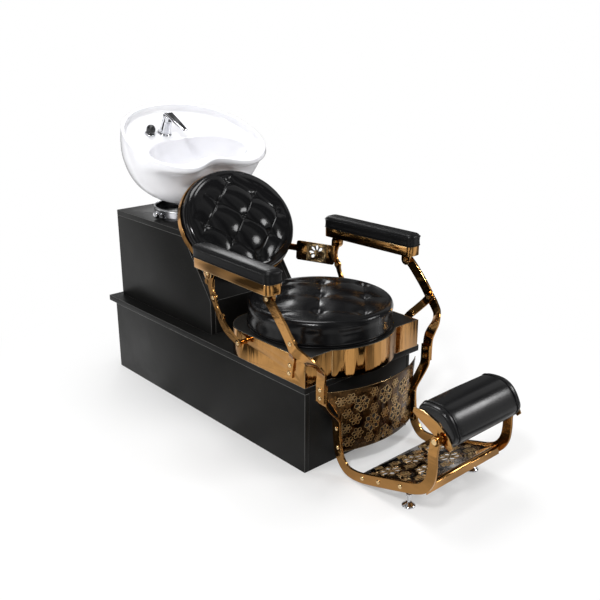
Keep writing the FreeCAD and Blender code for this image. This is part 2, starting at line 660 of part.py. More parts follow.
strap_path = [(ARM_A - 7, -553, 449, 26), (ARM_A - 7, -544, 438, 26), (ARM_A - 7, -534, 425, 26)]
strap_path += [(ARM_A - 12, -526, 414, 26), (STRAP_A + 22, -511, 393, 26), (STRAP_A + 5, -496, 372, 26)]
strap_path += [(STRAP_A, -489, 356, 26), (STRAP_A, -484, 338, 26), (STRAP_A, -479, 300, 26)]
strap = flat_bar(strap_path, 6).cut(hole(*ELBOW, ARM_A - 24, ARM_A + 6))
for by, bz in STRAP_BOLTS:
    strap = strap.cut(hole(by, bz, APRON_HALF - 10, APRON_HALF + 15))
save("arm_straps", Part.makeCompound([strap, mirror(strap)]))

# Ornate rear supports with bossed waists, standing off the apron.
CUSP = (-140.0, 465.0)
tail_path = [(TAIL_A, y, z, width) for y, z, width in (
    (-130, 546, 40), (-124, 520, 30), (-127, 492, 20), (-140, 465, 22), (-151, 436, 18),
    (-170, 406, 22), (-206, 372, 26), (-262, 346, 18))]
support = [flat_bar(tail_path, BAR_T), prism(-262, 346, APRON_HALF, TAIL_A, 8, 12)]
for by, bz, radius in ((-130, 546, 20), (-140, 465, 15), (-262, 346, 13), (-108, 512, 11), (-182, 412, 10)):
    support.append(prism(by, bz, TAIL_A - 4, TAIL_A + 4, radius, 16))
support = join(support)
for by, bz in [REAR_LUG, CUSP, TAIL_BOLT]:
    support = support.cut(hole(by, bz, APRON_HALF - 10, APRON_HALF + 50))
save_pair("rear_support", support)

# Pierced link plates from the back shell to the rear supports.
LINK_A = (BACK_R - 22, 0.0, 505.0)
LINK_B = (TAIL_A - 12, -124.0, 498.0)
LINK_HALF = 36.0
run = V(*LINK_B).sub(V(*LINK_A))
LINK_L = run.Length
link = block(0, LINK_L + 8, -LINK_HALF, LINK_HALF, -2, 2)
link = link.makeFillet(9, [e for e in link.Edges if e.BoundBox.ZLength > 3])
for cutter in rosette(LINK_L * 0.57, 0, 7, 30, 6.5, 8):
    link = link.cut(cutter)
link = link.fuse(block(-34, 12, -4, 20, -2, 2)).removeSplitter()
link = place(link, LINK_A, (run.x, run.y, run.z), (0, 0, 1))
boss_b = prism(-108, 512, TAIL_A - 22, TAIL_A - 4, 8, 12)
link = join([link, boss_b]).cut(shell).cut(channel)
link = max(link.Solids, key=lambda s: s.Volume)
save_pair("back_link", link)

# Leg panel: curved pierced sheet hung between the leg bars.
PANEL_R = 387.0
PANEL_Y = -249.0
turns = [math.radians(-90 - 33 + 66 * i / 12) for i in range(13)]
plan = [(PANEL_R * math.cos(t), PANEL_Y + PANEL_R * math.sin(t), 62) for t in turns]
plan += [((PANEL_R - 2.5) * math.cos(t), PANEL_Y + (PANEL_R - 2.5) * math.sin(t), 62) for t in turns[::-1]]
sheet = polygon(plan).extrude(V(0, 0, 203))
outline = [(-165, 62), (165, 62), (165, 186), (206, 265), (-206, 265), (-165, 186)]
mask = Part.Face(Part.makePolygon([V(x, -700, z) for x, z in outline + outline[:1]])).extrude(V(0, 150, 0))
sheet = sheet.common(mask)
flanges = []
for sx in (163, -166):
    flanges.append(block(sx, sx + 3, -616, -588, 66, 168))
FLOWERS = ((-92, 212, 1.0), (0, 218, 1.1), (92, 212, 1.0), (-52, 140, 1.15), (52, 140, 1.15), (0, 92, 0.85))
for cx, cz, size in FLOWERS:
    for cutter in rosette(0, 0, 7 * size, 26 * size, 6.5 * size, 6, 0.3):
        sheet = sheet.cut(place(cutter, (cx, -625, cz), (1, 0, 0), (0, 0, 1)))
panel = join([sheet] + flanges)
for by, bz in PANEL_BOLTS:
    panel = panel.cut(hole(by, bz, -180, 180))
save("leg_panel", panel)

# Foot tray: pierced plate rising to a rolled front lip, flanged to the bars.
TRAY_A = (0.0, -690.0, 24.0)
TRAY_DIR = (0.0, -0.9567, 0.2910)
tray = place(block(-163, 163, 0, 251, -1.5, 1.5), TRAY_A, (1, 0, 0), TRAY_DIR)
for cx, cy in ((-104, 70), (0, 70), (104, 70), (-52, 168), (52, 168)):
    for cutter in rosette(cx, cy, 8, 34, 8, 6):
        tray = tray.cut(place(cutter, TRAY_A, (1, 0, 0), TRAY_DIR))
lip = prism(-933, 95, -163, 163, 10, 14)
wings = [plate_yz([(-692, 10), (-692, 33), (-918, 102), (-918, 79)], sx, sx + 3) for sx in (163, -166)]
bosses = [turned([(10, 50), (10, 78)], 16, sx, FOOT_Y) for sx in (FOOT_X - 4, 4 - FOOT_X)]
tray = join([tray, lip] + wings + bosses)
for by, bz in TRAY_BOLTS:
    tray = tray.cut(hole(by, bz, -180, 180))
for sx in (FOOT_X - 4, 4 - FOOT_X):
    tray = tray.cut(turned([(5.4, 40), (5.4, 74)], 16, sx, FOOT_Y))
save("foot_tray", tray)

# Levelling feet: stud, lock nut and pad.
foot = [(20, 0), (20, 4), (15, 8), (7, 14), (5, 14), (5, 34), (9, 34), (9, 40), (5, 40), (5, 64)]
save_pair("levelling_foot", turned(foot, 16, FOOT_X - 4, FOOT_Y))

# Footrest roll: D-section pad on a board between two end plates, turning on two pivot bolts.
ROLL_A = (0.0, -878.0, 307.0)
ROLL_S = (0.0, -0.8845, -0.4666)


def on_roll(shape):
    return place(shape, ROLL_A, ROLL_S, (0, -0.4666, 0.8845))


ROLL_D = [(137, 0), (6, 0), (1, 9), (-1, 20), (3, 32), (14, 42), (32, 54), (52, 63), (71.5, 66)]
ROLL_D += [(143 - s, e) for s, e in ROLL_D[7:1:-1]]


def roll_ring(x, scale):
    return [(71.5 + (s - 71.5) * scale, e * scale, x) for s, e in ROLL_D]


roll_rows = [(-151, 0.86), (-147, 0.94), (-139, 0.985), (-128, 0.975), (-60, 1.0), (0, 1.005)]
roll_rows += [(60, 1.0), (128, 0.975), (139, 0.985), (147, 0.94), (151, 0.86)]
roll = skin([roll_ring(x, scale) for x, scale in roll_rows])
save("footrest_pad", on_roll(roll))
save("footrest_board", on_roll(block(4, 139, -8, 0, -152, 152)))
plate = [(-2, -9), (145, -9), (149, 6), (122, 24), (71.5, 31), (22, 24), (-6, 6)]
plate = Part.Face(Part.makePolygon([V(s, e, -152) for s, e in plate + plate[:1]])).extrude(V(0, 0, -4))
end_plate = on_roll(plate).fuse(prism(PIVOT_Y, PIVOT_Z, 152, 156, 13, 16)).removeSplitter()
end_plate = end_plate.cut(rod((140, PIVOT_Y, PIVOT_Z), (1, 0, 0), 5, 30))
save("roll_end_plates", Part.makeCompound([end_plate, mirror(end_plate)]))
pivots = []
for turn in (False, True):
    pivot = join([rod((152, PIVOT_Y, PIVOT_Z), (1, 0, 0), 5, 23), prism(PIVOT_Y, PIVOT_Z, 156, 166, 9, 12),
                  prism(PIVOT_Y, PIVOT_Z, 174.5, 178.5, 9, 12)])
    pivots.append(mirror(pivot) if turn else pivot)
save("pivot_bolts", Part.makeCompound(pivots))

# Fasteners, a group for each joint line.
def both(shapes):
    return Part.makeCompound(shapes + [mirror(s) for s in shapes])


arm_set = [bolt(*FRONT_LUG, ARM_A - 16, ARM_A + 4), bolt(*ELBOW, ARM_A - 10, ARM_A + 4)]
arm_set += [bolt(*REAR_LUG, TAIL_A - 4, TAIL_A + 16), bolt(*CUSP, TAIL_A - 4, TAIL_A + 4)]
arm_set.append(bolt(*TAIL_BOLT, APRON_HALF - SHEET, TAIL_A + 4))
arm_set += [bolt(by, bz, APRON_HALF - SHEET, STRAP_A + 3) for by, bz in STRAP_BOLTS]
save("arm_bolts", both(arm_set))
leg_set = [bolt(by, bz, LAP_A - 12, LAP_A + 4) for by, bz in LAP_BOLTS]
leg_set += [bolt(by, bz, LEG_A - 7, LEG_A + 4, False) for by, bz in PANEL_BOLTS + TRAY_BOLTS]
save("leg_bolts", both(leg_set))
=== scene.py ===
"""Backwash unit: a wash bowl on a laminate pedestal with a tufted seat, side bars and a footrest."""

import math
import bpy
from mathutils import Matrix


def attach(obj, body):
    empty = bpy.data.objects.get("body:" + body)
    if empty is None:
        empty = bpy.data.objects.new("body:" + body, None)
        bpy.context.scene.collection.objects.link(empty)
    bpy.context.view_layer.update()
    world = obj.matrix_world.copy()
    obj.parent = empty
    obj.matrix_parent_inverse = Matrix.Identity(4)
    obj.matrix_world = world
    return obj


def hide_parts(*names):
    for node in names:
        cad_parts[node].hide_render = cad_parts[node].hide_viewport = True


bl_info = {
    "name": "Backwash unit",
    "version": (1, 0, 0),
    "blender": (4, 5, 0),
    "location": "3D View > Sidebar > Backwash",
    "description": "Dresses the packed backwash unit in leather, gold plate, laminate and glaze",
    "category": "Object",
}

from functools import partial

import bmesh
import bpy
from bpy.props import FloatProperty, FloatVectorProperty, IntProperty, PointerProperty
from mathutils import Matrix, Vector, noise

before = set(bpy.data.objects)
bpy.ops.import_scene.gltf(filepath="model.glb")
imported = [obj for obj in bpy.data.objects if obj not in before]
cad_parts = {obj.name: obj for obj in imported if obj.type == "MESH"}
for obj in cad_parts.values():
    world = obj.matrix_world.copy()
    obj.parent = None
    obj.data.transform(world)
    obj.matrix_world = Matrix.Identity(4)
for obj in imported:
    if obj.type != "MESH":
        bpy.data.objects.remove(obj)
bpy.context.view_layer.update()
MM = 0.001
TURN = 2 * math.pi

# Places taken over from the part, in millimetres.
SEAT_AT = (0.0, -340.0, 372.0)
SEAT_R = 236.0
BACK_AT = (0.0, 52.0, 646.0)
BACK_TURN = math.radians(54.0)
BACK_R = 222.0
BACK_RATIO = 195.0 / BACK_R
RIM_AT = (0.0, 312.0, 891.0)
RIM_TILT = 26.1
RIM_SQUARE = 2.15
RIM_HALF = 276
RIM_FRONT = 196
RIM_REAR = 245
NOTCH = 62.0
NOTCH_WIDTH = 88.0
BASIN_HALF = 206
BASIN_FRONT = 96
BASIN_REAR = 82
BASIN_DEPTH = 132.0
DRAIN = (-45.0, -157.0)
DECK_AT = 92
DECK_DROP = 25.0
MIXER_X = -79
SPRAY_X = -140
COLLAR_AT = (0.0, 335.0, 0.0)
PIVOT = (-967.0, 255.0)
PANEL_R = 387.0
PANEL_Y = -249.0
TRAY_AT = (0.0, -690.0, 24.0)
TRAY_RUN = (0.0, -0.9567, 0.2910)
ROLL_AT = (0.0, -878.0, 307.0)
ROLL_S = (0.0, -0.8845, -0.4666)
ROLL_E = (0.0, -0.4666, 0.8845)
ROLL_MIDDLE = 71.5
ROLL_BASE = (6, 137)
ARM_AT = (284, -80)
ARM_LONG = 400
ARM_HALF = 32
ARM_CORNER = 24.0
ARM_YAW = math.atan2(16, ARM_LONG)
LINK_A = (200.0, 0.0, 505.0)
LINK_B = (262.0, -124.0, 498.0)
LINK_HALF = 36.0
FOOT_AT = (146.0, -867.0)
FRONT_LUG = (-444.0, 546.0)
REAR_LUG = (-130.0, 546.0)
ELBOW = (-544.0, 438.0)
CUSP = (-140.0, 465.0)
TAIL_BOLT = (-262.0, 346.0)
LAP_BOLTS = [(-598.0, 294.0), (-598.0, 268.0)]
STRAP_BOLTS = [(-484.0, 338.0), (-480.5, 312.0)]
PANEL_BOLTS = [(-598.5, 146.0), (-606.0, 86.0)]
TRAY_BOLTS = [(-711.0, 27.5), (-774.0, 43.5), (-856.0, 67.8)]

# Details of the dressing alone, in millimetres, apart from FINE_EDGE, ARM_SEAM_Z and the floor in metres.
FINE_EDGE = 0.0006
TOP_ROWS = 72
ROUND_POINTS = 232
CROWN_INSET = 9.0
TOP_INSET = 22.0
CREASE_WIDTH = 4.0
BUTTON_DIP = 11.0
PLEAT_WIDTH = 6.0
PLEAT_LENGTH = 40.0
SEAM_TURN = math.radians(-83.0)
ARM_DIVISION = 24.0
ARM_SEAM_Z = 0.5985
ROLL_SEAM = 130.0
LIP_FROM = 236
LIP_SIDE = 161
LIP_OFF = 2.2
TRAY_FACE = 1.4
TRIM_AT = (-943.0, 91.0)
TRIM_HALF = 165.0
LINK_FACE = 1.9
LINK_MIDDLE = 0.57
LINK_CORNER = 25
LINK_BAND = 36.0
FLOOR_HALF = 40.0
FLOOR_Z = -0.0004


def length(name, description, default, low, high):
    return FloatProperty(name=name, description=description, default=default, min=low, max=high, unit="LENGTH")


def colour(name, description, default):
    return FloatVectorProperty(name=name, description=description, default=default, subtype="COLOR",
                               min=0.0, max=1.0)


class BackwashSizes(bpy.types.PropertyGroup):
    """Sizes of the finishing details."""

    # A metal edge of this width gets the pale gold finish, a painted highlight along the edge.
    edge_round: length("Metal edge", "Width of the polished edge on bars and plates", 0.0009, 0.0002, 0.003)
    # The bevels of this width take the lighter banding finish, a painted highlight along the board edges.
    board_round: length("Board edge", "Width of the edge banding line on the boards", 0.0009, 0.0002, 0.004)
    seat_puff: length("Seat puff", "Swell of the seat leather between its buttons", 0.005, 0.0, 0.02)
    back_puff: length("Back puff", "Swell of the back leather between its buttons", 0.006, 0.0, 0.02)
    dimple: length("Dimple", "How deep a button draws the leather in", 0.011, 0.0, 0.03)
    button_radius: length("Button radius", "Radius of a covered button", 0.0085, 0.003, 0.02)
    piping_radius: length("Piping radius", "Radius of the leather piping", 0.0024, 0.001, 0.006)
    stitch_pitch: length("Stitch pitch", "Distance from one stitch to the next", 0.0062, 0.003, 0.02)
    bolt_radius: length("Bolt head radius", "Radius of a domed bolt head", 0.0072, 0.003, 0.02)
    wire: length("Filigree line", "Width of a raised line in the filigree", 0.0012, 0.0005, 0.004)
    round_steps: IntProperty(
        name="Round steps", description="Points round a turned piece", default=72, min=24, max=160)
    lens: FloatProperty(
        name="Lens", description="Focal length of the camera", default=48.5, min=20.0, max=120.0, unit="CAMERA")


class BackwashColours(bpy.types.PropertyGroup):
    """Colours of the finishes."""

    leather: colour("Leather", "Upholstery leather", (0.0028, 0.0028, 0.0031))
    gold: colour("Gold", "Polished gold plate", (0.46, 0.235, 0.074))
    # Pale gold on the bevelled edges of the gold bars and plates is a painted highlight.
    gold_pale: colour("Pale gold", "Bolt heads and raised filigree", (0.84, 0.60, 0.31))
    gold_deep: colour("Deep gold", "Shaded ground of the pierced plates", (0.035, 0.018, 0.007))
    laminate: colour("Laminate", "Satin board faces", (0.0062, 0.0061, 0.0058))
    # The banding colour is far lighter than the boards: a painted highlight along the board edges.
    banding: colour("Edge banding and highlight", "Thin line along the board edges", (0.11, 0.11, 0.105))
    glaze: colour("Glaze", "Wash bowl glaze", (0.88, 0.88, 0.90))
    chrome: colour("Chrome", "Mixer, ring and feet", (0.78, 0.79, 0.81))
    plastic: colour("Plastic", "Handset and waste tail", (0.012, 0.012, 0.013))
    casting: colour("Casting", "Painted saddle and carrier, and the collar", (0.19, 0.19, 0.20))
    ply: colour("Plywood", "Hidden boards", (0.42, 0.28, 0.15))
    thread: colour("Thread", "Stitching thread", (0.16, 0.16, 0.17))
    floor: colour("Floor", "Studio floor", (0.90, 0.90, 0.90))


def sizes():
    return bpy.context.scene.backwash_sizes


def rgba(name):
    return (*getattr(bpy.context.scene.backwash_colours, name), 1.0)


def tinted(base, factor, lift=0.0):
    return tuple(min(c * factor + lift, 1.0) for c in base[:3]) + (1.0,)


def once(store):
    """Build a named data block the first time, and hand back the same one after that."""
    def wrap(build):
        def named(name, *args):
            return getattr(bpy.data, store).get(name) or build(name, *args)
        return named
    return wrap


# Node tree writers.
def put(tree, kind, inputs=None, **settings):
    """A new node; its inputs are linked to sockets or set to plain values."""
    node = tree.nodes.new(kind)
    for key, value in settings.items():
        setattr(node, key, value)
    for key, value in (inputs or {}).items():
        if isinstance(value, bpy.types.NodeSocket):
            tree.links.new(value, node.inputs[key])
        else:
            node.inputs[key].default_value = value
    return node


def calc(tree, operation, *values, clamp=False):
    node = put(tree, "ShaderNodeMath", dict(enumerate(values)), operation=operation, use_clamp=clamp)
    return node.outputs[0]


def vector_calc(tree, operation, inputs):
    return put(tree, "ShaderNodeVectorMath", inputs, operation=operation).outputs[0]


def ramp(tree, value, low, high, start=0.0, end=1.0):
    node = put(tree, "ShaderNodeMapRange", {0: value, 1: low, 2: high, 3: start, 4: end}, clamp=True)
    return node.outputs[0]


def blend_colour(tree, factor, first, second):
    return put(tree, "ShaderNodeMix", {0: factor, 6: first, 7: second}, data_type="RGBA").outputs[2]


def clouds(tree, place, scale, detail, **more):
    inputs = {"Vector": place, "Scale": scale, "Detail": detail, **more}
    return put(tree, "ShaderNodeTexNoise", inputs).outputs[0]


def apart(tree, place):
    return put(tree, "ShaderNodeSeparateXYZ", {0: place}).outputs


def shader_group(inputs, *outputs):
    """Make a writer of nodes into a shader group with a Vector and these numbers as inputs, built once."""
    def wrap(write):
        def found():
            name = write.__name__
            tree = bpy.data.node_groups.get(name)
            if tree:
                return tree
            tree = bpy.data.node_groups.new(name, "ShaderNodeTree")
            tree.interface.new_socket("Vector", in_out="INPUT", socket_type="NodeSocketVector")
            for label, default in inputs.items():
                socket = tree.interface.new_socket(label, in_out="INPUT", socket_type="NodeSocketFloat")
                socket.default_value = default
            for label in outputs:
                tree.interface.new_socket(label, in_out="OUTPUT", socket_type="NodeSocketFloat")
            results = write(tree, put(tree, "NodeGroupInput").outputs)
            put(tree, "NodeGroupOutput", dict(zip(outputs, results)))
            return tree
        return found
    return wrap


@shader_group({"Grain": 900.0, "Crease": 24.0}, "Height", "Tone")
def hide_grain(tree, given):
    """Fine pebbled grain and soft creases of leather, as a height and a tone."""
    do = partial(calc, tree)
    cells = put(tree, "ShaderNodeTexVoronoi", {"Vector": given["Vector"], "Scale": given["Grain"]},
                feature="DISTANCE_TO_EDGE")
    pebble = ramp(tree, cells.outputs["Distance"], 0.0, 0.22)
    tone = clouds(tree, given["Vector"], given["Crease"], 6.0, Roughness=0.6, Distortion=0.6)
    fold = ramp(tree, do("ABSOLUTE", do("SUBTRACT", tone, 0.5)), 0.0, 0.07)
    return do("ADD", do("MULTIPLY", pebble, 0.35), do("MULTIPLY", fold, 0.65)), tone


@shader_group({"Step X": 0.078, "Step Y": 0.072, "Width": 0.03}, "Fold")
def diamond_folds(tree, given):
    """Thin folds of leather along the diamonds between buttons, as one height."""
    do = partial(calc, tree)
    parts = apart(tree, given["Vector"])
    a = do("DIVIDE", parts[0], given["Step X"])
    b = do("DIVIDE", parts[1], given["Step Y"])
    lanes = [do("MULTIPLY", do(way, a, b), 0.5) for way in ("ADD", "SUBTRACT")]
    folds = []
    for lane, other in (lanes, lanes[::-1]):
        off = do("ABSOLUTE", do("SUBTRACT", lane, do("ROUND", lane)))
        line = do("SUBTRACT", 1.0, do("DIVIDE", off, given["Width"]), clamp=True)
        ends = do("MULTIPLY", ramp(tree, do("ABSOLUTE", other), 1.05, 1.4, 1.0, 0.0),
                  ramp(tree, do("ABSOLUTE", lane), 1.1, 1.2, 1.0, 0.0))
        folds.append(do("MULTIPLY", line, ends))
    return [do("MAXIMUM", *folds)]


@shader_group({"Scale": 9.0}, "Smudge", "Speck")
def handled_surface(tree, given):
    """Smudges and fine specks of a handled surface, as two masks."""
    broad = clouds(tree, given["Vector"], given["Scale"], 5.0, Roughness=0.62, Distortion=0.4)
    fine = clouds(tree, given["Vector"], calc(tree, "MULTIPLY", given["Scale"], 40.0), 2.0)
    return ramp(tree, broad, 0.32, 0.72), ramp(tree, fine, 0.62, 0.78)


@shader_group({"Across": 55.0, "Along": 2.2}, "Streak", "Hairline")
def drawn_streaks(tree, given):
    """Long polishing streaks and hairlines of drawn sheet, as two masks; where the streak mask tints a gold colour it
    paints reflection streaks.
    """
    scale = put(tree, "ShaderNodeCombineXYZ", {0: given["Across"], 1: given["Across"], 2: given["Along"]})
    stretched = vector_calc(tree, "MULTIPLY", {0: given["Vector"], 1: scale.outputs[0]})
    fine = vector_calc(tree, "MULTIPLY", {0: stretched, 1: (14.0, 14.0, 5.0)})
    streak = clouds(tree, stretched, 1.0, 5.0, Roughness=0.6, Distortion=0.5)
    return ramp(tree, streak, 0.3, 0.72), clouds(tree, fine, 1.0, 2.0)


@shader_group({"Scale": 34.0, "Line": 0.035}, "Mask")
def rosette_etching(tree, given):
    """Small etched flowers with ringed middles on a flat plane, as one mask."""
    do = partial(calc, tree)
    cells = put(tree, "ShaderNodeTexVoronoi", {"Vector": given["Vector"], "Scale": given["Scale"],
                                               "Randomness": 0.55}, voronoi_dimensions="2D")
    here, middle = [vector_calc(tree, "SCALE", {0: place, "Scale": given["Scale"]})
                    for place in (given["Vector"], cells.outputs["Position"])]
    parts = apart(tree, vector_calc(tree, "SUBTRACT", {0: here, 1: middle}))
    angle = do("ARCTAN2", parts[1], parts[0])
    reach = do("SQRT", do("ADD", do("POWER", parts[0], 2.0), do("POWER", parts[1], 2.0)))
    wave = do("ABSOLUTE", do("COSINE", do("MULTIPLY", angle, 4.0)))
    petal = do("ADD", do("MULTIPLY", wave, 0.2), 0.22)
    outline = do("ABSOLUTE", do("SUBTRACT", reach, petal))
    ring = do("ABSOLUTE", do("SUBTRACT", reach, 0.12))
    ray = do("ADD", do("SUBTRACT", 1.0, wave), do("MULTIPLY", do("GREATER_THAN", reach, 0.4), 9.0))
    near = do("MINIMUM", do("MINIMUM", outline, ring), do("MULTIPLY", ray, 0.45))
    return [do("SUBTRACT", 1.0, do("DIVIDE", near, given["Line"]), clamp=True)]


@shader_group({"Low": 0.1, "High": 1.0}, "Level")
def studio_bands(tree, given):
    """Light and dark strips of a studio round a middle, as one level."""
    do = partial(calc, tree)
    parts = apart(tree, given["Vector"])
    turn = do("ARCTAN2", parts[1], parts[0])
    wide = do("SINE", do("ADD", do("MULTIPLY", turn, 7.0), 0.6))
    narrow = do("SINE", do("ADD", do("MULTIPLY", turn, 19.0), 2.0))
    mixed = do("ADD", wide, do("MULTIPLY", narrow, 0.6))
    return [ramp(tree, mixed, -0.7, 0.8, given["Low"], given["High"])]


# Finishes.
def new_finish(name):
    """A material whose Principled shader and Object coordinates are handed back with its tree."""
    material = bpy.data.materials.new(name)
    material.use_nodes = True
    tree = material.node_tree
    return material, tree, tree.nodes["Principled BSDF"], put(tree, "ShaderNodeTexCoord").outputs["Object"]


def use(tree, group, place, **values):
    return put(tree, "ShaderNodeGroup", {"Vector": place, **values}, node_tree=group).outputs


def bump(tree, shader, height, strength, distance):
    node = put(tree, "ShaderNodeBump", {"Height": height, "Strength": strength, "Distance": distance})
    tree.links.new(node.outputs[0], shader.inputs["Normal"])
    return node


def shade(tree, shader, tone, rough, **levels):
    """Colour from (mask, first, second), roughness from (mask, low, high), and plain levels."""
    tree.links.new(blend_colour(tree, *tone), shader.inputs["Base Color"])
    mask, low, high = rough
    tree.links.new(ramp(tree, mask, 0.0, 1.0, low, high), shader.inputs["Roughness"])
    for key, value in levels.items():
        shader.inputs[key.replace("_", " ")].default_value = value


# Roughness from clean to smudged, and specular level.
LEATHER_GLOSS = {"back": (0.08, 0.13, 0.26), "seat": (0.13, 0.22, 0.24), "arm": (0.28, 0.4, 0.2),
                 "roll": (0.2, 0.28, 0.42)}


def leather(kind):
    return hide("black_hide_" + kind, kind)


@once("materials")
def hide(name, kind):
    """Black hide; the back is polished and pressed along its diamonds, the arms are satin."""
    material, tree, shader, place = new_finish(name)
    grain = use(tree, hide_grain(), place, Grain=820.0, Crease=16.0)
    handled = use(tree, handled_surface(), place, Scale=7.0)
    base = rgba("leather")
    low, high, level = LEATHER_GLOSS[kind]
    shade(tree, shader, (grain["Tone"], base, tinted(base, 1.9)), (handled["Smudge"], low, high),
          Specular_IOR_Level=level)
    grained = bump(tree, shader, grain["Height"], 0.06, 0.0005)
    if kind == "back":
        flat = put(tree, "ShaderNodeMapping", {"Vector": place, "Location": Vector(BACK_AT) * MM,
                                               "Rotation": back_plane().to_euler()}, vector_type="TEXTURE")
        folds = use(tree, diamond_folds(), flat.outputs[0])
        pressed = bump(tree, shader, calc(tree, "SUBTRACT", 1.0, folds["Fold"]), 0.8, 0.0022)
        tree.links.new(grained.outputs[0], pressed.inputs["Normal"])
    return material


POLISH_TURN = {"Z": (0.0, 0.0, 0.0), "Y": (math.radians(90), 0.0, 0.0), "X": (0.0, math.radians(90), 0.0)}


@once("materials")
def gold_plate(name, axis="Z", across=16.0, along=1.6):
    """Mirror gold sheet with faint waves left along one axis by its polishing; the waves also darken the colour a
    little, as painted reflection streaks.
    """
    material, tree, shader, place = new_finish(name)
    laid = put(tree, "ShaderNodeMapping", {"Vector": place, "Rotation": POLISH_TURN[axis]})
    streak = use(tree, drawn_streaks(), laid.outputs[0], Across=across, Along=along)
    handled = use(tree, handled_surface(), place, Scale=11.0)
    base = rgba("gold")
    # Painted reflection streaks: the colour is a little darker along the polishing waves.
    shade(tree, shader, (streak["Streak"], tinted(base, 0.8), base), (handled["Smudge"], 0.04, 0.11), Metallic=1.0)
    bump(tree, shader, streak["Streak"], 0.5, 0.0016)
    return material


@once("materials")
def etched_gold(name, plane):
    """Dark mirror ground, its near-black colour painted shade with lighter painted reflection streaks, and small
    etched flowers on the plane given by two axes.
    """
    material, tree, shader, place = new_finish(name)
    parts = apart(tree, place)
    flat = put(tree, "ShaderNodeCombineXYZ", {0: parts[plane[0]], 1: parts[plane[1]]})
    etch = use(tree, rosette_etching(), flat.outputs[0], Scale=26.0, Line=0.036)
    streak = use(tree, drawn_streaks(), place, Across=30.0, Along=7.0)
    deep = rgba("gold_deep")
    # Painted shade and reflection: a near-black ground, lifted along the streaks.
    ground = blend_colour(tree, calc(tree, "POWER", streak["Streak"], 2.5), deep, tinted(deep, 3.4))
    # The etched lines show brighter along the same painted reflection streaks.
    line = calc(tree, "MULTIPLY", etch["Mask"], ramp(tree, streak["Streak"], 0.2, 0.8, 0.05, 0.5))
    shade(tree, shader, (line, ground, rgba("gold")), (etch["Mask"], 0.08, 0.26), Metallic=1.0)
    bump(tree, shader, etch["Mask"], 0.3, 0.0008)
    return material


@once("materials")
def board_face(name):
    """Satin laminate with dust and fine pores."""
    material, tree, shader, place = new_finish(name)
    handled = use(tree, handled_surface(), place, Scale=5.0)
    base = rgba("laminate")
    tone = blend_colour(tree, handled["Smudge"], base, tinted(base, 1.7))
    dust = calc(tree, "MULTIPLY", handled["Speck"], 0.25)
    shade(tree, shader, (dust, tone, tinted(base, 3.2, 0.02)), (handled["Smudge"], 0.36, 0.48),
          Specular_IOR_Level=0.13)
    bump(tree, shader, clouds(tree, place, 1600.0, 2.0), 0.05, 0.0003)
    return material


@once("materials")
def fired_glaze(name):
    """White glaze with a clear coat and slight ripples."""
    material, tree, shader, place = new_finish(name)
    handled = use(tree, handled_surface(), place, Scale=4.0)
    base = rgba("glaze")
    cool = (base[0] * 0.97, base[1] * 0.97, base[2] * 0.99, 1.0)
    shade(tree, shader, (handled["Smudge"], base, cool), (handled["Smudge"], 0.08, 0.14),
          Coat_Weight=0.4, Coat_Roughness=0.04)
    bump(tree, shader, clouds(tree, place, 22.0, 1.0), 0.02, 0.001)
    return material


@once("materials")
def raw_ply(name):
    """Bare plywood with its grain along Z."""
    material, tree, shader, place = new_finish(name)
    streak = use(tree, drawn_streaks(), place, Across=60.0, Along=5.0)
    base = rgba("ply")
    shade(tree, shader, (streak["Streak"], tinted(base, 0.6), base), (streak["Hairline"], 0.55, 0.75))
    bump(tree, shader, streak["Hairline"], 0.15, 0.0005)
    return material


@once("materials")
def plated(name, tone, low, high, metal=1.0, scale=24.0, dull=0.82, rough="Smudge"):
    """Smooth plated, painted or moulded finish with faint handling marks."""
    material, tree, shader, place = new_finish(name)
    handled = use(tree, handled_surface(), place, Scale=scale)
    base = rgba(tone)
    shade(tree, shader, (handled["Smudge"], base, tinted(base, dull)), (handled[rough], low, high), Metallic=metal)
    return material


laminate = partial(board_face, "black_board")
glaze = partial(fired_glaze, "white_glaze")
plywood = partial(raw_ply, "raw_plywood")
chrome = partial(plated, "bright_chrome", "chrome", 0.05, 0.13)
plastic = partial(plated, "moulded_black", "plastic", 0.22, 0.34, 0.0)
casting = partial(plated, "painted_casting", "casting", 0.4, 0.55, 0.0)
satin_steel = partial(plated, "satin_steel", "casting", 0.14, 0.26)
thread = partial(plated, "sewing_thread", "thread", 0.5, 0.65, 0.0)
# Lighter finish on the board bevels: a painted highlight along the edges.
banding = partial(plated, "board_banding", "banding", 0.35, 0.5, 0.0, 14.0, 0.45, "Speck")
# Pale gold on the bevels of gold pieces is a painted highlight; on bolt heads and raised filigree it is their colour.
pale_gold = partial(plated, "pale_gold", "gold_pale", 0.14, 0.3, 1.0, 26.0, 0.7, "Speck")
lace_gold = partial(plated, "lace_gold", "gold_pale", 0.26, 0.4)
drawn_gold = partial(plated, "drawn_gold", "gold_deep", 0.12, 0.2)
channel_gold = partial(gold_plate, "gold_bar_y", "Y")
lip_gold = partial(gold_plate, "gold_lip", "X", 16.0, 3.0)


# Mesh writers.
def placed(name, mesh):
    obj = bpy.data.objects.new(name, mesh)
    bpy.context.scene.collection.objects.link(obj)
    return obj


def drop(obj):
    mesh = obj.data
    bpy.data.objects.remove(obj)
    bpy.data.meshes.remove(mesh)


def piece_from(name, points, faces, material):
    mesh = bpy.data.meshes.new(name)
    mesh.from_pydata(points, [], faces)
    mesh.materials.append(material)
    mesh.validate()
    return placed(name, mesh)


def outward(obj):
    """Merge doubled points and turn every face outward."""
    bm = bmesh.new()
    bm.from_mesh(obj.data)
    bmesh.ops.remove_doubles(bm, verts=bm.verts, dist=1e-6)
    bmesh.ops.recalc_face_normals(bm, faces=bm.faces)
    bm.to_mesh(obj.data)
    bm.free()
    return obj


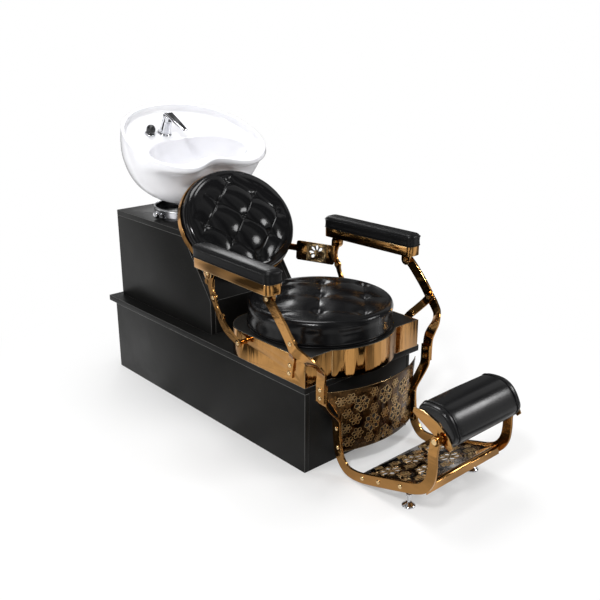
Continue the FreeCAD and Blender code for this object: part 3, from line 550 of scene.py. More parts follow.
def soften_shading(obj, degrees):
    for face in obj.data.polygons:
        face.use_smooth = True
    obj.data.set_sharp_from_angle(angle=math.radians(degrees))
    return obj


def baked(obj):
    """Turn the modified object into a plain mesh."""
    graph = bpy.context.evaluated_depsgraph_get()
    mesh = bpy.data.meshes.new_from_object(obj.evaluated_get(graph))
    old = obj.data
    obj.modifiers.clear()
    obj.data = mesh
    mesh.name = obj.name
    bpy.data.meshes.remove(old)
    return obj


def settle(obj, body, slot, *nodes, degrees=None):
    """Hang the piece on what it rides on and hide the parts it stands for, after smoothing it if asked; the slot is
    not used.
    """
    if degrees:
        soften_shading(obj, degrees)
    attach(obj, body)
    if nodes:
        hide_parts(*nodes)
    return obj


def merged(name, objects):
    """One object from several, with their materials kept."""
    bm = bmesh.new()
    materials = []
    for obj in objects:
        first = len(bm.faces)
        bm.from_mesh(obj.data)
        bm.faces.ensure_lookup_table()
        for face in bm.faces[first:]:
            material = obj.data.materials[face.material_index]
            if material not in materials:
                materials.append(material)
            face.material_index = materials.index(material)
    mesh = bpy.data.meshes.new(name)
    bm.to_mesh(mesh)
    bm.free()
    for material in materials:
        mesh.materials.append(material)
    for obj in objects:
        drop(obj)
    return placed(name, mesh)


def mirrored(obj, name):
    """A copy on the other side of the middle plane, turned the right way out."""
    copy = placed(name, obj.data.copy())
    copy.data.transform(Matrix.Scale(-1.0, 4, (1, 0, 0)))
    copy.data.flip_normals()
    return copy


def ring_faces(rows, count, loop):
    faces = []
    for i in range(rows if loop else rows - 1):
        low = i * count
        high = (i + 1) % rows * count
        for k in range(count):
            n = (k + 1) % count
            faces.append((low + k, low + n, high + n, high + k))
    return faces


def circle(r, count, x=0.0, y=0.0):
    return [(x + r * math.cos(TURN * k / count), y + r * math.sin(TURN * k / count)) for k in range(count)]


def lofted(name, rings, material, loop=False):
    """A closed skin through rings of millimetre points; open ends get a fan."""
    count = len(rings[0])
    points = [Vector(p) * MM for ring in rings for p in ring]
    faces = ring_faces(len(rings), count, loop)
    if not loop:
        for start in (0, (len(rings) - 1) * count):
            middle = sum(points[start:start + count], Vector()) / count
            points.append(middle)
            hub = len(points) - 1
            for k in range(count):
                faces.append((start + (k + 1) % count, start + k, hub))
    return outward(piece_from(name, points, faces, material))


def turned(name, profile, material, matrix=Matrix(), ratio=1.0, loop=False, steps=None):
    """A turned piece from (radius, height) rows in millimetres."""
    count = steps or sizes().round_steps
    rings = [[matrix @ Vector((x, y * ratio, z)) for x, y in circle(r, count)] for r, z in profile]
    return lofted(name, rings, material, loop)


def on_plane(origin, x_axis, y_axis):
    """The matrix of a plane with these two axes, in millimetres."""
    x = Vector(x_axis).normalized()
    z = x.cross(Vector(y_axis)).normalized()
    y = z.cross(x)
    matrix = Matrix((x, y, z)).transposed().to_4x4()
    matrix.translation = Vector(origin)
    return matrix


def back_plane():
    return on_plane(BACK_AT, (1, 0, 0), (0.0, math.cos(BACK_TURN), math.sin(BACK_TURN)))


def softened(path, steps, level=False):
    """A soft curve through the stations; level keeps the first column between its stations."""
    out = []
    last = len(path) - 1
    for i in range(last):
        p0 = path[max(i - 1, 0)]
        p1 = path[i]
        p2 = path[i + 1]
        p3 = path[min(i + 2, last)]
        for k in range(steps):
            t = k / steps
            row = []
            for a, b, c, d in zip(p0, p1, p2, p3):
                bend = 2 * a - 5 * b + 4 * c - d
                turn = 3 * b - a - 3 * c + d
                row.append(b + 0.5 * t * (c - a + t * (bend + t * turn)))
            if level:
                row[0] = min(max(row[0], min(p1[0], p2[0])), max(p1[0], p2[0]))
            out.append(row)
    out.append(list(path[last]))
    return out


def edged_copy(node, face_finish, edge_finish, width, degrees):
    """A copy of a solid with its edges broken, the edge faces in their own finish."""
    bm = bmesh.new()
    bm.from_mesh(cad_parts[node].data)
    bmesh.ops.remove_doubles(bm, verts=bm.verts, dist=4e-5)
    bmesh.ops.dissolve_limit(bm, angle_limit=math.radians(0.4), verts=bm.verts, edges=bm.edges)
    mesh = bpy.data.meshes.new(node)
    bm.to_mesh(mesh)
    bm.free()
    mesh.materials.append(face_finish)
    mesh.materials.append(edge_finish)
    obj = placed("dressed_" + node, mesh)
    bevel = obj.modifiers.new("edge", "BEVEL")
    bevel.width = width
    bevel.segments = 2
    bevel.limit_method = "ANGLE"
    bevel.angle_limit = math.radians(degrees)
    bevel.use_clamp_overlap = False
    bevel.material = 1
    return soften_shading(baked(obj), degrees)


def dress(node, body, slot, face, edge=None, width=FINE_EDGE, degrees=28.0):
    """Stand an edged copy in the node's place."""
    return settle(edged_copy(node, face, edge or face, width, degrees), body, slot, node)


# Repeats: one tree lays a template on marked points.
@once("node_groups")
def spread_tree(name):
    tree = bpy.data.node_groups.new(name, "GeometryNodeTree")
    for label, kind in (("Geometry", "NodeSocketGeometry"), ("Template", "NodeSocketObject"),
                        ("Size", "NodeSocketFloat"), ("Finish", "NodeSocketMaterial")):
        tree.interface.new_socket(label, in_out="INPUT", socket_type=kind)
    tree.interface.new_socket("Geometry", in_out="OUTPUT", socket_type="NodeSocketGeometry")
    given = put(tree, "NodeGroupInput").outputs
    facing, along, size = [
        put(tree, "GeometryNodeInputNamedAttribute", {"Name": label}, data_type=kind).outputs[0]
        for label, kind in (("facing", "FLOAT_VECTOR"), ("along", "FLOAT_VECTOR"), ("size", "FLOAT"))]
    up = put(tree, "FunctionNodeAlignRotationToVector", {"Vector": facing}, axis="Z")
    turn = put(tree, "FunctionNodeAlignRotationToVector", {"Rotation": up.outputs[0], "Vector": along},
               axis="X", pivot_axis="Z")
    info = put(tree, "GeometryNodeObjectInfo", {"Object": given["Template"]})
    laid = put(tree, "GeometryNodeInstanceOnPoints", {
        "Points": given["Geometry"], "Instance": info.outputs["Geometry"], "Rotation": turn.outputs[0],
        "Scale": calc(tree, "MULTIPLY", size, given["Size"])})
    real = put(tree, "GeometryNodeRealizeInstances", {"Geometry": laid.outputs[0]})
    dressed = put(tree, "GeometryNodeSetMaterial", {"Geometry": real.outputs[0], "Material": given["Finish"]})
    put(tree, "NodeGroupOutput", {"Geometry": dressed.outputs[0]})
    return tree


def spread(name, template, spots, finish):
    """A plain mesh of the template on spots of (place, facing, along, size), all in metres."""
    obj = piece_from(name, [s[0] for s in spots], [], finish)
    columns = (("facing", "FLOAT_VECTOR", "vector"), ("along", "FLOAT_VECTOR", "vector"), ("size", "FLOAT", "value"))
    for column, (label, kind, value) in enumerate(columns, 1):
        layer = obj.data.attributes.new(label, kind, "POINT")
        for i, spot in enumerate(spots):
            setattr(layer.data[i], value, spot[column])
    tree = spread_tree("spread_template")
    modifier = obj.modifiers.new("spread", "NODES")
    modifier.node_group = tree
    values = {"Template": template, "Size": 1.0, "Finish": finish}
    for item in tree.interface.items_tree:
        if item.in_out == "INPUT" and item.name in values:
            modifier[item.identifier] = values[item.name]
    baked(obj)
    if not obj.data.polygons:
        raise RuntimeError("nothing was laid out for " + name)
    if not obj.data.materials:
        obj.data.materials.append(finish)
    return obj


def tube(name, path, radius, material, sides=8, closed=True):
    """A round welt along metre points."""
    count = len(path)
    points = []
    for i, p in enumerate(path):
        before = path[(i - 1) % count] if closed or i else p
        after = path[(i + 1) % count] if closed or i < count - 1 else p
        run = (after - before).normalized()
        side = run.cross(Vector((0.13, 0.31, 0.94))).normalized()
        lift = side.cross(run)
        points += [p + radius * (side * a + lift * b) for a, b in circle(1.0, sides)]
    faces = ring_faces(count, sides, closed)
    if not closed:
        faces.append(tuple(range(sides)))
        faces.append(tuple(range((count - 1) * sides, count * sides)))
    return soften_shading(outward(piece_from(name, points, faces, material)), 40)


# Upholstery.
CLOTH = {"quality": 5, "mass": 0.3, "tension_stiffness": 18.0, "compression_stiffness": 18.0, "shear_stiffness": 8.0,
         "bending_stiffness": 0.4, "use_pressure": True, "vertex_group_mass": "held"}


def swell(obj, held, pressure, cap, frames):
    """Blow the leather out a little with cloth, held at its seams and buttons."""
    start = [v.co.copy() for v in obj.data.vertices]
    group = obj.vertex_groups.new(name="held")
    for index, weight in enumerate(held):
        group.add([index], weight, "REPLACE")
    cloth = obj.modifiers.new("swell", "CLOTH")
    for key, value in CLOTH.items():
        setattr(cloth.settings, key, value)
    cloth.settings.uniform_pressure_force = pressure
    cloth.settings.effector_weights.gravity = 0.0
    cloth.point_cache.frame_start = 1
    cloth.point_cache.frame_end = frames
    scene = bpy.context.scene
    for step in range(1, frames + 1):
        scene.frame_set(step)
    graph = bpy.context.evaluated_depsgraph_get()
    moved = [v.co.copy() for v in obj.evaluated_get(graph).data.vertices]
    obj.modifiers.remove(cloth)
    obj.vertex_groups.remove(group)
    scene.frame_set(1)
    for vertex, before, after in zip(obj.data.vertices, start, moved):
        shift = after - before
        if shift.length > cap:
            shift *= cap / shift.length
        vertex.co = before + shift
    obj.data.update()


BUTTONS = [(i, j) for i in range(-2, 3) for j in range(-2, 3) if (i + j) % 2 == 0 and abs(i) + abs(j) <= 2]


def tuft(x, y, reach, step_x, step_y, puff, dimple, draw):
    """Height of the buttoned leather over its crown: diamonds, creases, dimples and edge pleats."""
    lanes = ((x / step_x + y / step_y) / 2, (x / step_x - y / step_y) / 2)
    inside = max(abs(lane) for lane in lanes)
    ends = 1.0 - min(max(inside - 1.0, 0.0) / 0.45, 1.0)
    run = 2 * step_x * step_y / math.hypot(step_x, step_y)
    dome = 1.0
    crease = 0.0
    for lane, other in (lanes, lanes[::-1]):
        across = 2 * abs(lane - round(lane)) if abs(lane) < 1.5 else 1.0
        fade = 1.0 if abs(other) <= 1 else math.exp(-(abs(other) - 1) * 5)
        dome *= 1 - (1 - across) ** 2.0
        crease = max(crease, math.exp(-across * run / 2 / CREASE_WIDTH) * fade)
    height = puff * (dome if inside < 1.5 else 1.0) * (0.35 + 0.65 * ends) - draw * crease
    for i, j in BUTTONS:
        bx = i * step_x
        by = j * step_y
        height -= dimple * math.exp(-(math.hypot(x - bx, y - by) / (BUTTON_DIP + 0.5 * dimple)) ** 1.2)
        size = math.hypot(bx, by)
        forward = (x * bx + y * by) / size - size if size else 0.0
        if forward > 0:
            sideways = abs(x * by - y * bx) / size
            height -= draw * math.exp(-sideways / PLEAT_WIDTH) * math.exp(-forward / PLEAT_LENGTH)
    return height * min(max((1.0 - reach) / 0.07, 0.0), 1.0) ** 0.6


def crown(r, edge, low, high):
    rise = high - low
    bend = (edge * edge + rise * rise) / (2 * rise)
    return high - bend + math.sqrt(max(bend * bend - r * r, 0.0))


def tufted_cushion(name, matrix, radius, levels, ratio, tufts, material):
    """A round buttoned cushion with a drawn-in side and a rolled edge; hands back its button spots too."""
    base, waist, edge_z, high = levels
    step_x, step_y = tufts[:2]
    edge = radius - CROWN_INSET
    inner = radius - TOP_INSET
    side = [(radius - 12, base), (radius - 3, base + 4), (radius, base + 13), (radius - 3, waist),
            (radius - 0.5, edge_z - 22), (radius - 1.5, edge_z - 13), (radius - 5.5, edge_z - 5.5),
            (radius - 12.5, edge_z - 0.6), (inner, crown(inner, edge, edge_z, high))]
    round_way = circle(1.0, ROUND_POINTS)
    rings = []
    held = []
    for r, z in [(radius * f, base) for f in (0.25, 0.5, 0.72, 0.86)] + softened(side, 5):
        ring = []
        for c, s in round_way:
            wobble = 0.8 * noise.noise(Vector((c * 5, s * 5, z * 0.045)))
            reach = r + (wobble if z > base + 10 else 0.0)
            ring.append(matrix @ Vector((reach * c, reach * ratio * s, z)))
            held.append(1.0 if z < base + 8 else 0.55)
        rings.append(ring)
    for i in range(1, TOP_ROWS):
        r = inner * (1 - i / TOP_ROWS)
        z = crown(r, edge, edge_z, high)
        ring = []
        for c, s in round_way:
            x = r * c
            y = r * ratio * s
            lift = tuft(x, y, r / inner, *tufts) + 0.4 * noise.noise(Vector((x * 0.022, y * 0.022, 3.7)))
            ring.append(matrix @ Vector((x, y, z + lift)))
            near = min(math.hypot(x - a * step_x, y - b * step_y) for a, b in BUTTONS)
            held.append(1.0 if near < 12 else 0.35)
        rings.append(ring)
    obj = lofted(name, rings, material)
    held += [1.0] * (len(obj.data.vertices) - len(held))
    swell(obj, held, 3.0, 3.0 * MM, 16)
    facing = matrix.to_3x3() @ Vector((0, 0, 1))
    along = matrix.to_3x3() @ Vector((1, 0, 0))
    spots = []
    for i, j in BUTTONS:
        x = i * step_x
        y = j * step_y
        z = crown(math.hypot(x, y / ratio), edge, edge_z, high) + tuft(x, y, 0.5, *tufts)
        spots.append((matrix @ Vector((x, y, z + 1.0)) * MM, facing, along, 1.0))
    return soften_shading(obj, 70), spots


def button_template():
    r = sizes().button_radius / MM
    profile = [(r * 0.55, -4.0), (r * 0.9, -3.0), (r, -1.0), (r * 0.96, 0.6), (r * 0.78, 2.2), (r * 0.45, 3.2),
               (r * 0.12, 3.5)]
    return turned("button_template", softened(profile, 3), leather("seat"), steps=28)


def upholstered(part, *shape):
    """The part's buttoned cushion, with its buttons laid on it."""
    cushion, spots = tufted_cushion(part + "_leather", *shape, leather(part))
    settle(cushion, "frame_body", "black_leather", part + "_cushion")
    template = button_template()
    buttons = spread(part + "_button_set", template, spots, leather(part))
    settle(buttons, "frame_body", "black_leather", part + "_buttons", degrees=60)
    drop(template)
    return cushion


def stitch_template():
    """A short plump stitch lying along X."""
    rows = [(-2.1, 0.15), (-1.7, 0.42), (-0.8, 0.55), (0.8, 0.55), (1.7, 0.42), (2.1, 0.15)]
    rings = [[(x, a, b) for a, b in circle(r, 6, 0.0, 0.25)] for x, r in rows]
    return lofted("stitch_template", rings, thread())


def sew(name, path, facing):
    """Stitches along metre points, all on one facing."""
    template = stitch_template()
    spots = []
    left = 0.0
    for a, b in zip(path, path[1:]):
        run = b - a
        while left <= run.length:
            spots.append((a + run * (left / run.length), facing, run.normalized(), 1.0))
            left += sizes().stitch_pitch
        left -= run.length
    piece = spread(name, template, spots, thread())
    drop(template)
    return soften_shading(piece, 60)


class BACKWASH_OT_seat(bpy.types.Operator):
    """Make the round buttoned seat cushion with its piping, seams and buttons"""

    bl_idname = "backwash.seat"
    bl_label = "Seat cushion"

    def execute(self, context):
        s = sizes()
        tufts = (100.0, 100.0, s.seat_puff / MM, s.dimple / MM * 1.3, 0.5)
        cushion = upholstered("seat", Matrix.Translation(SEAT_AT), SEAT_R, (0.0, 42.0, 83.0, 93.0), 1.0, tufts)
        welts = []
        for r, z, share in ((234.5, 375.0, 1.0), (236.6, 385.5, 0.45)):
            path = [Vector((x, y, z)) * MM for x, y in circle(r, 160, 0.0, SEAT_AT[1])]
            welts.append(tube("seat_welt", path, s.piping_radius * share, leather("seat")))
        settle(merged("seat_piping", welts), "frame_body", "black_leather")
        out = Vector((math.cos(SEAM_TURN), math.sin(SEAM_TURN), 0.0))
        rise = [(236.4, 386), (234.8, 397), (233.4, 413), (235.0, 427), (235.6, 434), (234.6, 443), (231, 450)]
        path = [Vector((r * math.cos(SEAM_TURN), r * math.sin(SEAM_TURN) + SEAT_AT[1], z)) * MM
                for r, z in softened(rise, 3)]
        settle(sew("seat_side_stitches", path, out), "frame_body", "black_leather")
        return {"FINISHED"}


class BACKWASH_OT_back(bpy.types.Operator):
    """Make the oval buttoned back cushion and the gold pan that carries it"""

    bl_idname = "backwash.back"
    bl_label = "Back cushion"

    def execute(self, context):
        s = sizes()
        matrix = back_plane()
        tufts = (78.0, 72.0, s.back_puff / MM, s.dimple / MM * 0.85, 1.3)
        cushion = upholstered("back", matrix, BACK_R, (-58.0, -30.0, -6.0, 14.0), BACK_RATIO, tufts)
        rim = [(224.0, -58), (224.0, -41), (224.6, -40), (226.4, -40), (227.0, -41), (227.0, -60.5), (225.5, -62),
               (30, -62), (30, -58)]
        ratio = (BACK_R * BACK_RATIO + 2) / 224.0
        pan = turned("back_pan", rim, gold_plate("gold_sheet"), matrix, ratio, True, 128)
        settle(pan, "frame_body", "gold", "back_shell", degrees=30)
        return {"FINISHED"}


def arm_outline(inset, z, sign, steps=10):
    """The arm pad's outline drawn in by the inset, its long sides divided."""
    r = max(ARM_CORNER - inset, 2.0)
    half = ARM_HALF - inset - r
    front = -ARM_LONG + inset + r
    corners = ((half, -inset - r, 0), (-half, -inset - r, 90), (-half, front, 180), (half, front, 270))
    flat = []
    for cx, cy, start in corners:
        for k in range(steps):
            t = math.radians(start + 90.0 * k / (steps - 1))
            flat.append((cx + r * math.cos(t), cy + r * math.sin(t)))
    points = []
    c = math.cos(ARM_YAW)
    s = math.sin(ARM_YAW)
    for a, b in zip(flat, flat[1:] + flat[:1]):
        parts = int(math.dist(a, b) / ARM_DIVISION) + 1
        for k in range(parts):
            x = a[0] + (b[0] - a[0]) * k / parts
            y = a[1] + (b[1] - a[1]) * k / parts
            points.append((sign * (ARM_AT[0] + x * c - y * s), ARM_AT[1] + x * s + y * c, z))
    return points


class BACKWASH_OT_arms(bpy.types.Operator):
    """Make both leather arm pads with piping, and the gold channels under them"""

    bl_idname = "backwash.arms"
    bl_label = "Arm pads"

    def execute(self, context):
        s = sizes()
        rows = [(9, 596), (3, 596.4), (0.8, 598.5), (0, 603), (0.7, 612), (0.2, 620), (0.4, 625), (2.4, 630.4),
                (6, 634.2), (11, 636.4), (17, 637.6), (22, 638)]
        for sign, side in ((1, "right"), (-1, "left")):
            rings = [arm_outline(inset, z, sign) for inset, z in softened(rows, 3)]
            pad = lofted("arm_leather_" + side, rings, leather("arm"))
            held = [1.0 if v.co.z < ARM_SEAM_Z else 0.3 for v in pad.data.vertices]
            swell(pad, held, 2.0, 1.5 * MM, 12)
            settle(pad, "frame_body", "black_leather", "arm_pad_" + side, degrees=60)
            welts = []
            for inset, z in ((-0.4, 626.5), (-0.2, 598.2)):
                path = [Vector(p) * MM for p in arm_outline(inset, z, sign, 14)]
                path = [p for i, p in enumerate(path) if (p - path[i - 1]).length > 1e-5]
                welts.append(tube("welt", path, s.piping_radius * 0.6, leather("arm")))
            settle(merged("arm_piping_" + side, welts), "frame_body", "black_leather")
            # Pale gold on the channel bevels: painted highlight.
            dress("arm_channel_" + side, "frame_body", "gold", channel_gold(), pale_gold(), s.edge_round)
        return {"FINISHED"}


class BACKWASH_OT_footrest(bpy.types.Operator):
    """Make the footrest roll, its piping, board, end plates and pivots"""

    bl_idname = "backwash.footrest"
    bl_label = "Footrest roll"

    def execute(self, context):
        s = sizes()
        matrix = on_plane(ROLL_AT, ROLL_S, ROLL_E)
        low, high = ROLL_BASE
        half = [(low, 0), (1, 9), (-1, 20), (3, 32), (14, 42), (32, 54), (52, 63), (ROLL_MIDDLE, 66)]
        outline = softened(half + [(2 * ROLL_MIDDLE - a, b) for a, b in half[6:0:-1]] + [(high, 0)], 5)
        section = outline + [(high - (high - low) * k / 18, 0.0) for k in range(1, 18)]

        def ring(points, x, scale):
            return [matrix @ Vector((ROLL_MIDDLE + (a - ROLL_MIDDLE) * scale, b * scale, x)) for a, b in points]

        rows = [(-151, 0.84), (-150, 0.9), (-147.5, 0.94), (-143, 0.968), (-138, 0.982), (-133, 0.976), (-129, 0.968),
                (-125, 0.98), (-112, 0.992), (-60, 1.0), (0, 1.006)]
        rows += [(-x, k) for x, k in rows[-2::-1]]
        roll = lofted("roll_leather", [ring(section, x, k) for x, k in softened(rows, 3)], leather("roll"))
        normal = matrix.to_3x3() @ Vector((0, 1, 0))
        held = [1.0 if (v.co / MM - Vector(ROLL_AT)).dot(normal) < 1.5 else 0.35 for v in roll.data.vertices]
        swell(roll, held, 2.0, 2.0 * MM, 12)
        settle(roll, "roll_body", "black_leather", "footrest_pad", degrees=60)
        welts = []
        for x in (-ROLL_SEAM, ROLL_SEAM):
            path = [p * MM for p in ring(outline, x, 0.985)]
            welts.append(tube("welt", path, s.piping_radius, leather("roll"), closed=False))
        settle(merged("roll_piping", welts), "roll_body", "black_leather")
        # Pale gold on the bevels of the roll end plates: painted highlight.
        # The footrest board's bevels take the banding finish, a painted highlight along its edges.
        for node, slot, face, edge in (("footrest_board", "plywood", laminate(), banding()),
                                       ("roll_end_plates", "gold", channel_gold(), pale_gold()),
                                       ("pivot_bolts", "gold", pale_gold(), pale_gold())):
            dress(node, "roll_body", slot, face, edge, s.edge_round)
        return {"FINISHED"}


# Wash bowl.
def rim_axes():
    c = math.cos(math.radians(RIM_TILT))
    t = math.sin(math.radians(RIM_TILT))
    return (0.0, c, t), (0.0, -t, c)


def rim_point(x, w, m):
    along, normal = rim_axes()
    return (x, RIM_AT[1] + along[1] * w + normal[1] * m, RIM_AT[2] + along[2] * w + normal[2] * m)


def oval(y, z, tilt, half, front, rear, notch, count=144):
    """A tilted egg-shaped ring about the middle plane, with a neck notch at its front."""
    c = math.cos(math.radians(tilt))
    s = math.sin(math.radians(tilt))
    points = []
    for cos, sin in circle(1.0, count):
        x = half * math.copysign(abs(cos) ** (2 / RIM_SQUARE), cos)
        w = (rear if sin > 0 else front) * math.copysign(abs(sin) ** (2 / RIM_SQUARE), sin)
        if w < 0:
            w += notch * math.exp(-(x / NOTCH_WIDTH) ** 2)
        points.append((x, y + c * w, z + s * w))
    return points


def rim_ring(inset, m):
    return oval(*rim_point(0, 0, m)[1:], RIM_TILT, RIM_HALF - inset, RIM_FRONT - inset, RIM_REAR - inset, NOTCH)


def wall_rings(rows, inset, lift):
    out = []
    for t, y, z, scale, notch, front in rows:
        tilt = RIM_TILT * max(1 - t, 0.0) ** 1.15
        out.append(oval(y, z + lift * t, tilt, RIM_HALF * scale - inset, front - inset,
                        RIM_REAR * scale - inset, notch))
    return out


def basin_ring(lift, scale, grow, down):
    at = rim_point(0, -26.0 - 19 * lift, -DECK_DROP - down - BASIN_DEPTH * lift)
    tilt = RIM_TILT * (1 - 0.75 * lift)
    notch = 44.0 * max(1 - 1.3 * lift, 0)
    half, front, rear = [size * scale + grow for size in (BASIN_HALF, BASIN_FRONT, BASIN_REAR)]
    return oval(*at[1:], tilt, half, front, rear, notch)


def level_ring(r, y, z):
    return [(a, b, z) for a, b in circle(r, 144, 0.0, y)]


class BACKWASH_OT_bowl(bpy.types.Operator):
    """Make the glazed wash bowl with its rolled rim, rear deck, basin and drain"""

    bl_idname = "backwash.bowl"
    bl_label = "Wash bowl"

    def execute(self, context):
        rows = [(1.00, 335.0, 664.0, 0.325, 0.0, 63.7), (0.94, 334.0, 671.0, 0.420, 0.0, 82.0),
                (0.84, 330.0, 688.0, 0.580, 0.0, 94.0), (0.68, 323.0, 722.0, 0.780, 0.0, 98.0),
                (0.50, 316.0, 766.0, 0.920, 12.0, 96.0), (0.30, 312.0, 818.0, 1.000, 40.0, 122.0),
                (0.12, 311.0, 862.0, 1.014, 61.0, 180.0), (0.0, RIM_AT[1], RIM_AT[2], 1.0, NOTCH, RIM_FRONT)]
        basin = [(0.05, 0.985), (0.12, 0.975), (0.2, 0.96), (0.48, 0.88), (0.76, 0.68), (0.93, 0.40), (1.0, 0.17)]
        rings = wall_rings(softened(rows, 5), 0, 0)
        for k in range(1, 9):
            a = math.pi * k / 9
            rings.append(rim_ring(6.5 - 6.5 * math.cos(a), 3.4 * math.sin(a)))
        for inset, m in ((13.0, -2), (13.4, -10), (14.6, -17), (17, -21.5), (21, -24.2), (27, -25)):
            rings.append(rim_ring(inset, m))
        for lift, scale, grow, down in ((0, 1, 9, 0), (0, 1, 5, 0.5), (0, 1, 2, 2), (0.02, 0.995, 0, 2)):
            rings.append(basin_ring(lift, scale, grow, down))
        rings += [basin_ring(lift, scale, 0, 0) for lift, scale in softened(basin, 4)]
        drain = rim_point(0, *DRAIN)
        rings += [level_ring(r, drain[1], drain[2] + rise) for r, rise in ((24, 0.5), (23, -1), (23, -11))]
        rings += [basin_ring(lift, scale, 9, 11) for lift, scale in softened(basin, 2)[::-1]]
        rings.append(oval(*rim_point(0, 0, -36)[1:], RIM_TILT, 254, 151, 223, 46.0))
        rings += wall_rings(rows[5:0:-1], 11, 10)
        rings += [level_ring(60, rows[0][1], z) for z in (672.0, 664.0)]
        bowl = lofted("glazed_bowl", rings, glaze(), True)
        settle(bowl, "bowl_body", "white_ceramic", "bowl", degrees=50)
        dress("waste_strainer", "bowl_body", "chrome", chrome())
        return {"FINISHED"}


class BACKWASH_OT_bowl_stand(bpy.types.Operator):
    """Make the collar, chrome ring, tilt knob and the tilting parts under the bowl"""

    bl_idname = "backwash.bowl_stand"
    bl_label = "Bowl stand"

    def execute(self, context):
        at = Matrix.Translation(COLLAR_AT)
        profile = [(160, 617), (160, 621), (159, 622.4), (157, 624), (156, 626.5), (156, 644), (155, 645.6),
                   (153.5, 646), (151, 646), (151, 617)]
        collar = turned("stand_collar", profile, satin_steel(), at, 1.0, True, 128)
        settle(collar, "frame_body", "chrome", "bowl_collar", degrees=35)
        profile = [(157, 646), (157.2, 647.4), (156.4, 649.4), (154.6, 650.8), (152.6, 650.8), (150.9, 649.4),
                   (150, 647.2), (150, 646)]
        ring = turned("stand_ring", profile, chrome(), at, 1.0, True, 128)
        settle(ring, "frame_body", "chrome", "collar_trim_ring", degrees=50)
        for node, body, slot, finish in (("tilt_saddle", "frame_body", "grey_casting", casting),
                                         ("tilt_pins", "frame_body", "chrome", chrome),
                                         ("bowl_carrier", "bowl_body", "grey_casting", casting),
                                         ("bowl_nuts", "bowl_body", "chrome", chrome),
                                         ("waste_tail", "bowl_body", "black_plastic", plastic),
                                         ("tilt_lock_knob", "knob_body", "chrome", chrome)):
            dress(node, body, slot, finish())
        return {"FINISHED"}


class BACKWASH_OT_mixer(bpy.types.Operator):
    """Make the mixer column, head and lever, and the handset in its ring"""

    bl_idname = "backwash.mixer"
    bl_label = "Mixer and handset"

    def execute(self, context):
        along = rim_axes()[0]
        mix = on_plane(rim_point(MIXER_X, DECK_AT, -DECK_DROP), (1, 0, 0), along)
        spray = on_plane(rim_point(SPRAY_X, DECK_AT, -DECK_DROP), (1, 0, 0), along)
        profile = [(12, -34), (12, -0.5), (25, 0), (26, 0.8), (26, 3), (25, 4.4), (22.2, 5.8), (21, 7.5), (20.6, 12),
                   (19.4, 34), (18.6, 51.6), (18, 52)]
        column = turned("mixer_column", profile, chrome(), mix)
        settle(column, "bowl_body", "chrome", "mixer_body", degrees=35)
        dress("mixer_head", "mixer_head_body", "chrome", chrome(), None, 0.0011, 30)
        dress("mixer_lever", "lever_body", "chrome", chrome(), None, 0.0012, 30)
        profile = [(11.6, 0), (18.4, 0), (19, 0.8), (19, 4.4), (18, 6.4), (16.4, 7.7), (14, 8.2), (12.2, 8),
                   (11.6, 7.2)]
        ring = turned("handset_ring", profile, chrome(), spray, 1.0, True)
        settle(ring, "bowl_body", "chrome", "handset_socket", degrees=35)
        profile = [(9.5, -58), (11, -56.5), (11, 8.6), (13.6, 8.8), (14.7, 10), (15.4, 14), (15.9, 20), (15.8, 24.5),
                   (14.9, 28.4), (13, 32), (10, 35.2), (6, 37.3), (2, 38)]
        grip = turned("handset_grip", profile, plastic(), spray)
        settle(grip, "handset_body", "black_plastic", "handset", degrees=40)
        return {"FINISHED"}


class BACKWASH_OT_boards(bpy.types.Operator):
    """Dress the plinth, deck and pedestal boards with banded edges, their banding lightened as a painted highlight,
    and the hidden boards
    """

    bl_idname = "backwash.boards"
    bl_label = "Boards"

    def execute(self, context):
        # The seat board among these takes the black board finish as painted shade where it shows round the seat
        # cushion.
        for node in ("plinth_left_panel", "plinth_right_panel", "plinth_end_panels", "deck_board",
                     "pedestal_left_panel", "pedestal_right_panel", "pedestal_kick_panel", "pedestal_raked_board",
                     "pedestal_top_board", "rear_service_panel", "seat_board"):
            # Bevelled board edges get the lighter painted highlight, except on the plinth's end panels.
            edge = laminate() if node == "plinth_end_panels" else banding()
            dress(node, "frame_body", "black_laminate", laminate(), edge, sizes().board_round, 40)
        for node, finish in (("plinth_bottom_board", plywood), ("seat_battens", plywood), ("back_blocks", laminate)):
            dress(node, "frame_body", "plywood", finish(), degrees=40)
        return {"FINISHED"}


def bar(path, thick, material, edge, steps=8):
    """A flat bar with its broad face across X and its corners broken."""
    stations = softened(path, steps, True)
    rings = []
    for i, (x, y, z, width) in enumerate(stations):
        before = stations[max(i - 1, 0)]
        after = stations[min(i + 1, len(stations) - 1)]
        ty = after[1] - before[1]
        tz = after[2] - before[2]
        size = math.hypot(ty, tz)
        t = thick / 2
        w = width / 2
        corners = ((-t, -w + edge), (-t, w - edge), (-t + edge, w), (t - edge, w), (t, w - edge), (t, -w + edge),
                   (t - edge, -w), (-t + edge, -w))
        rings.append([(x + c, y - tz / size * d, z + ty / size * d) for c, d in corners])
    return lofted("bar", rings, material)


def boss(at, low, high, radius, material, edge=0.9):
    """A round boss along X at (Y, Z)."""
    rows = ((low, radius - edge), (low + edge, radius), (high - edge, radius), (high, radius - edge))
    return lofted("boss", [[(x, y, z) for y, z in circle(r, 40, *at)] for x, r in rows], material)


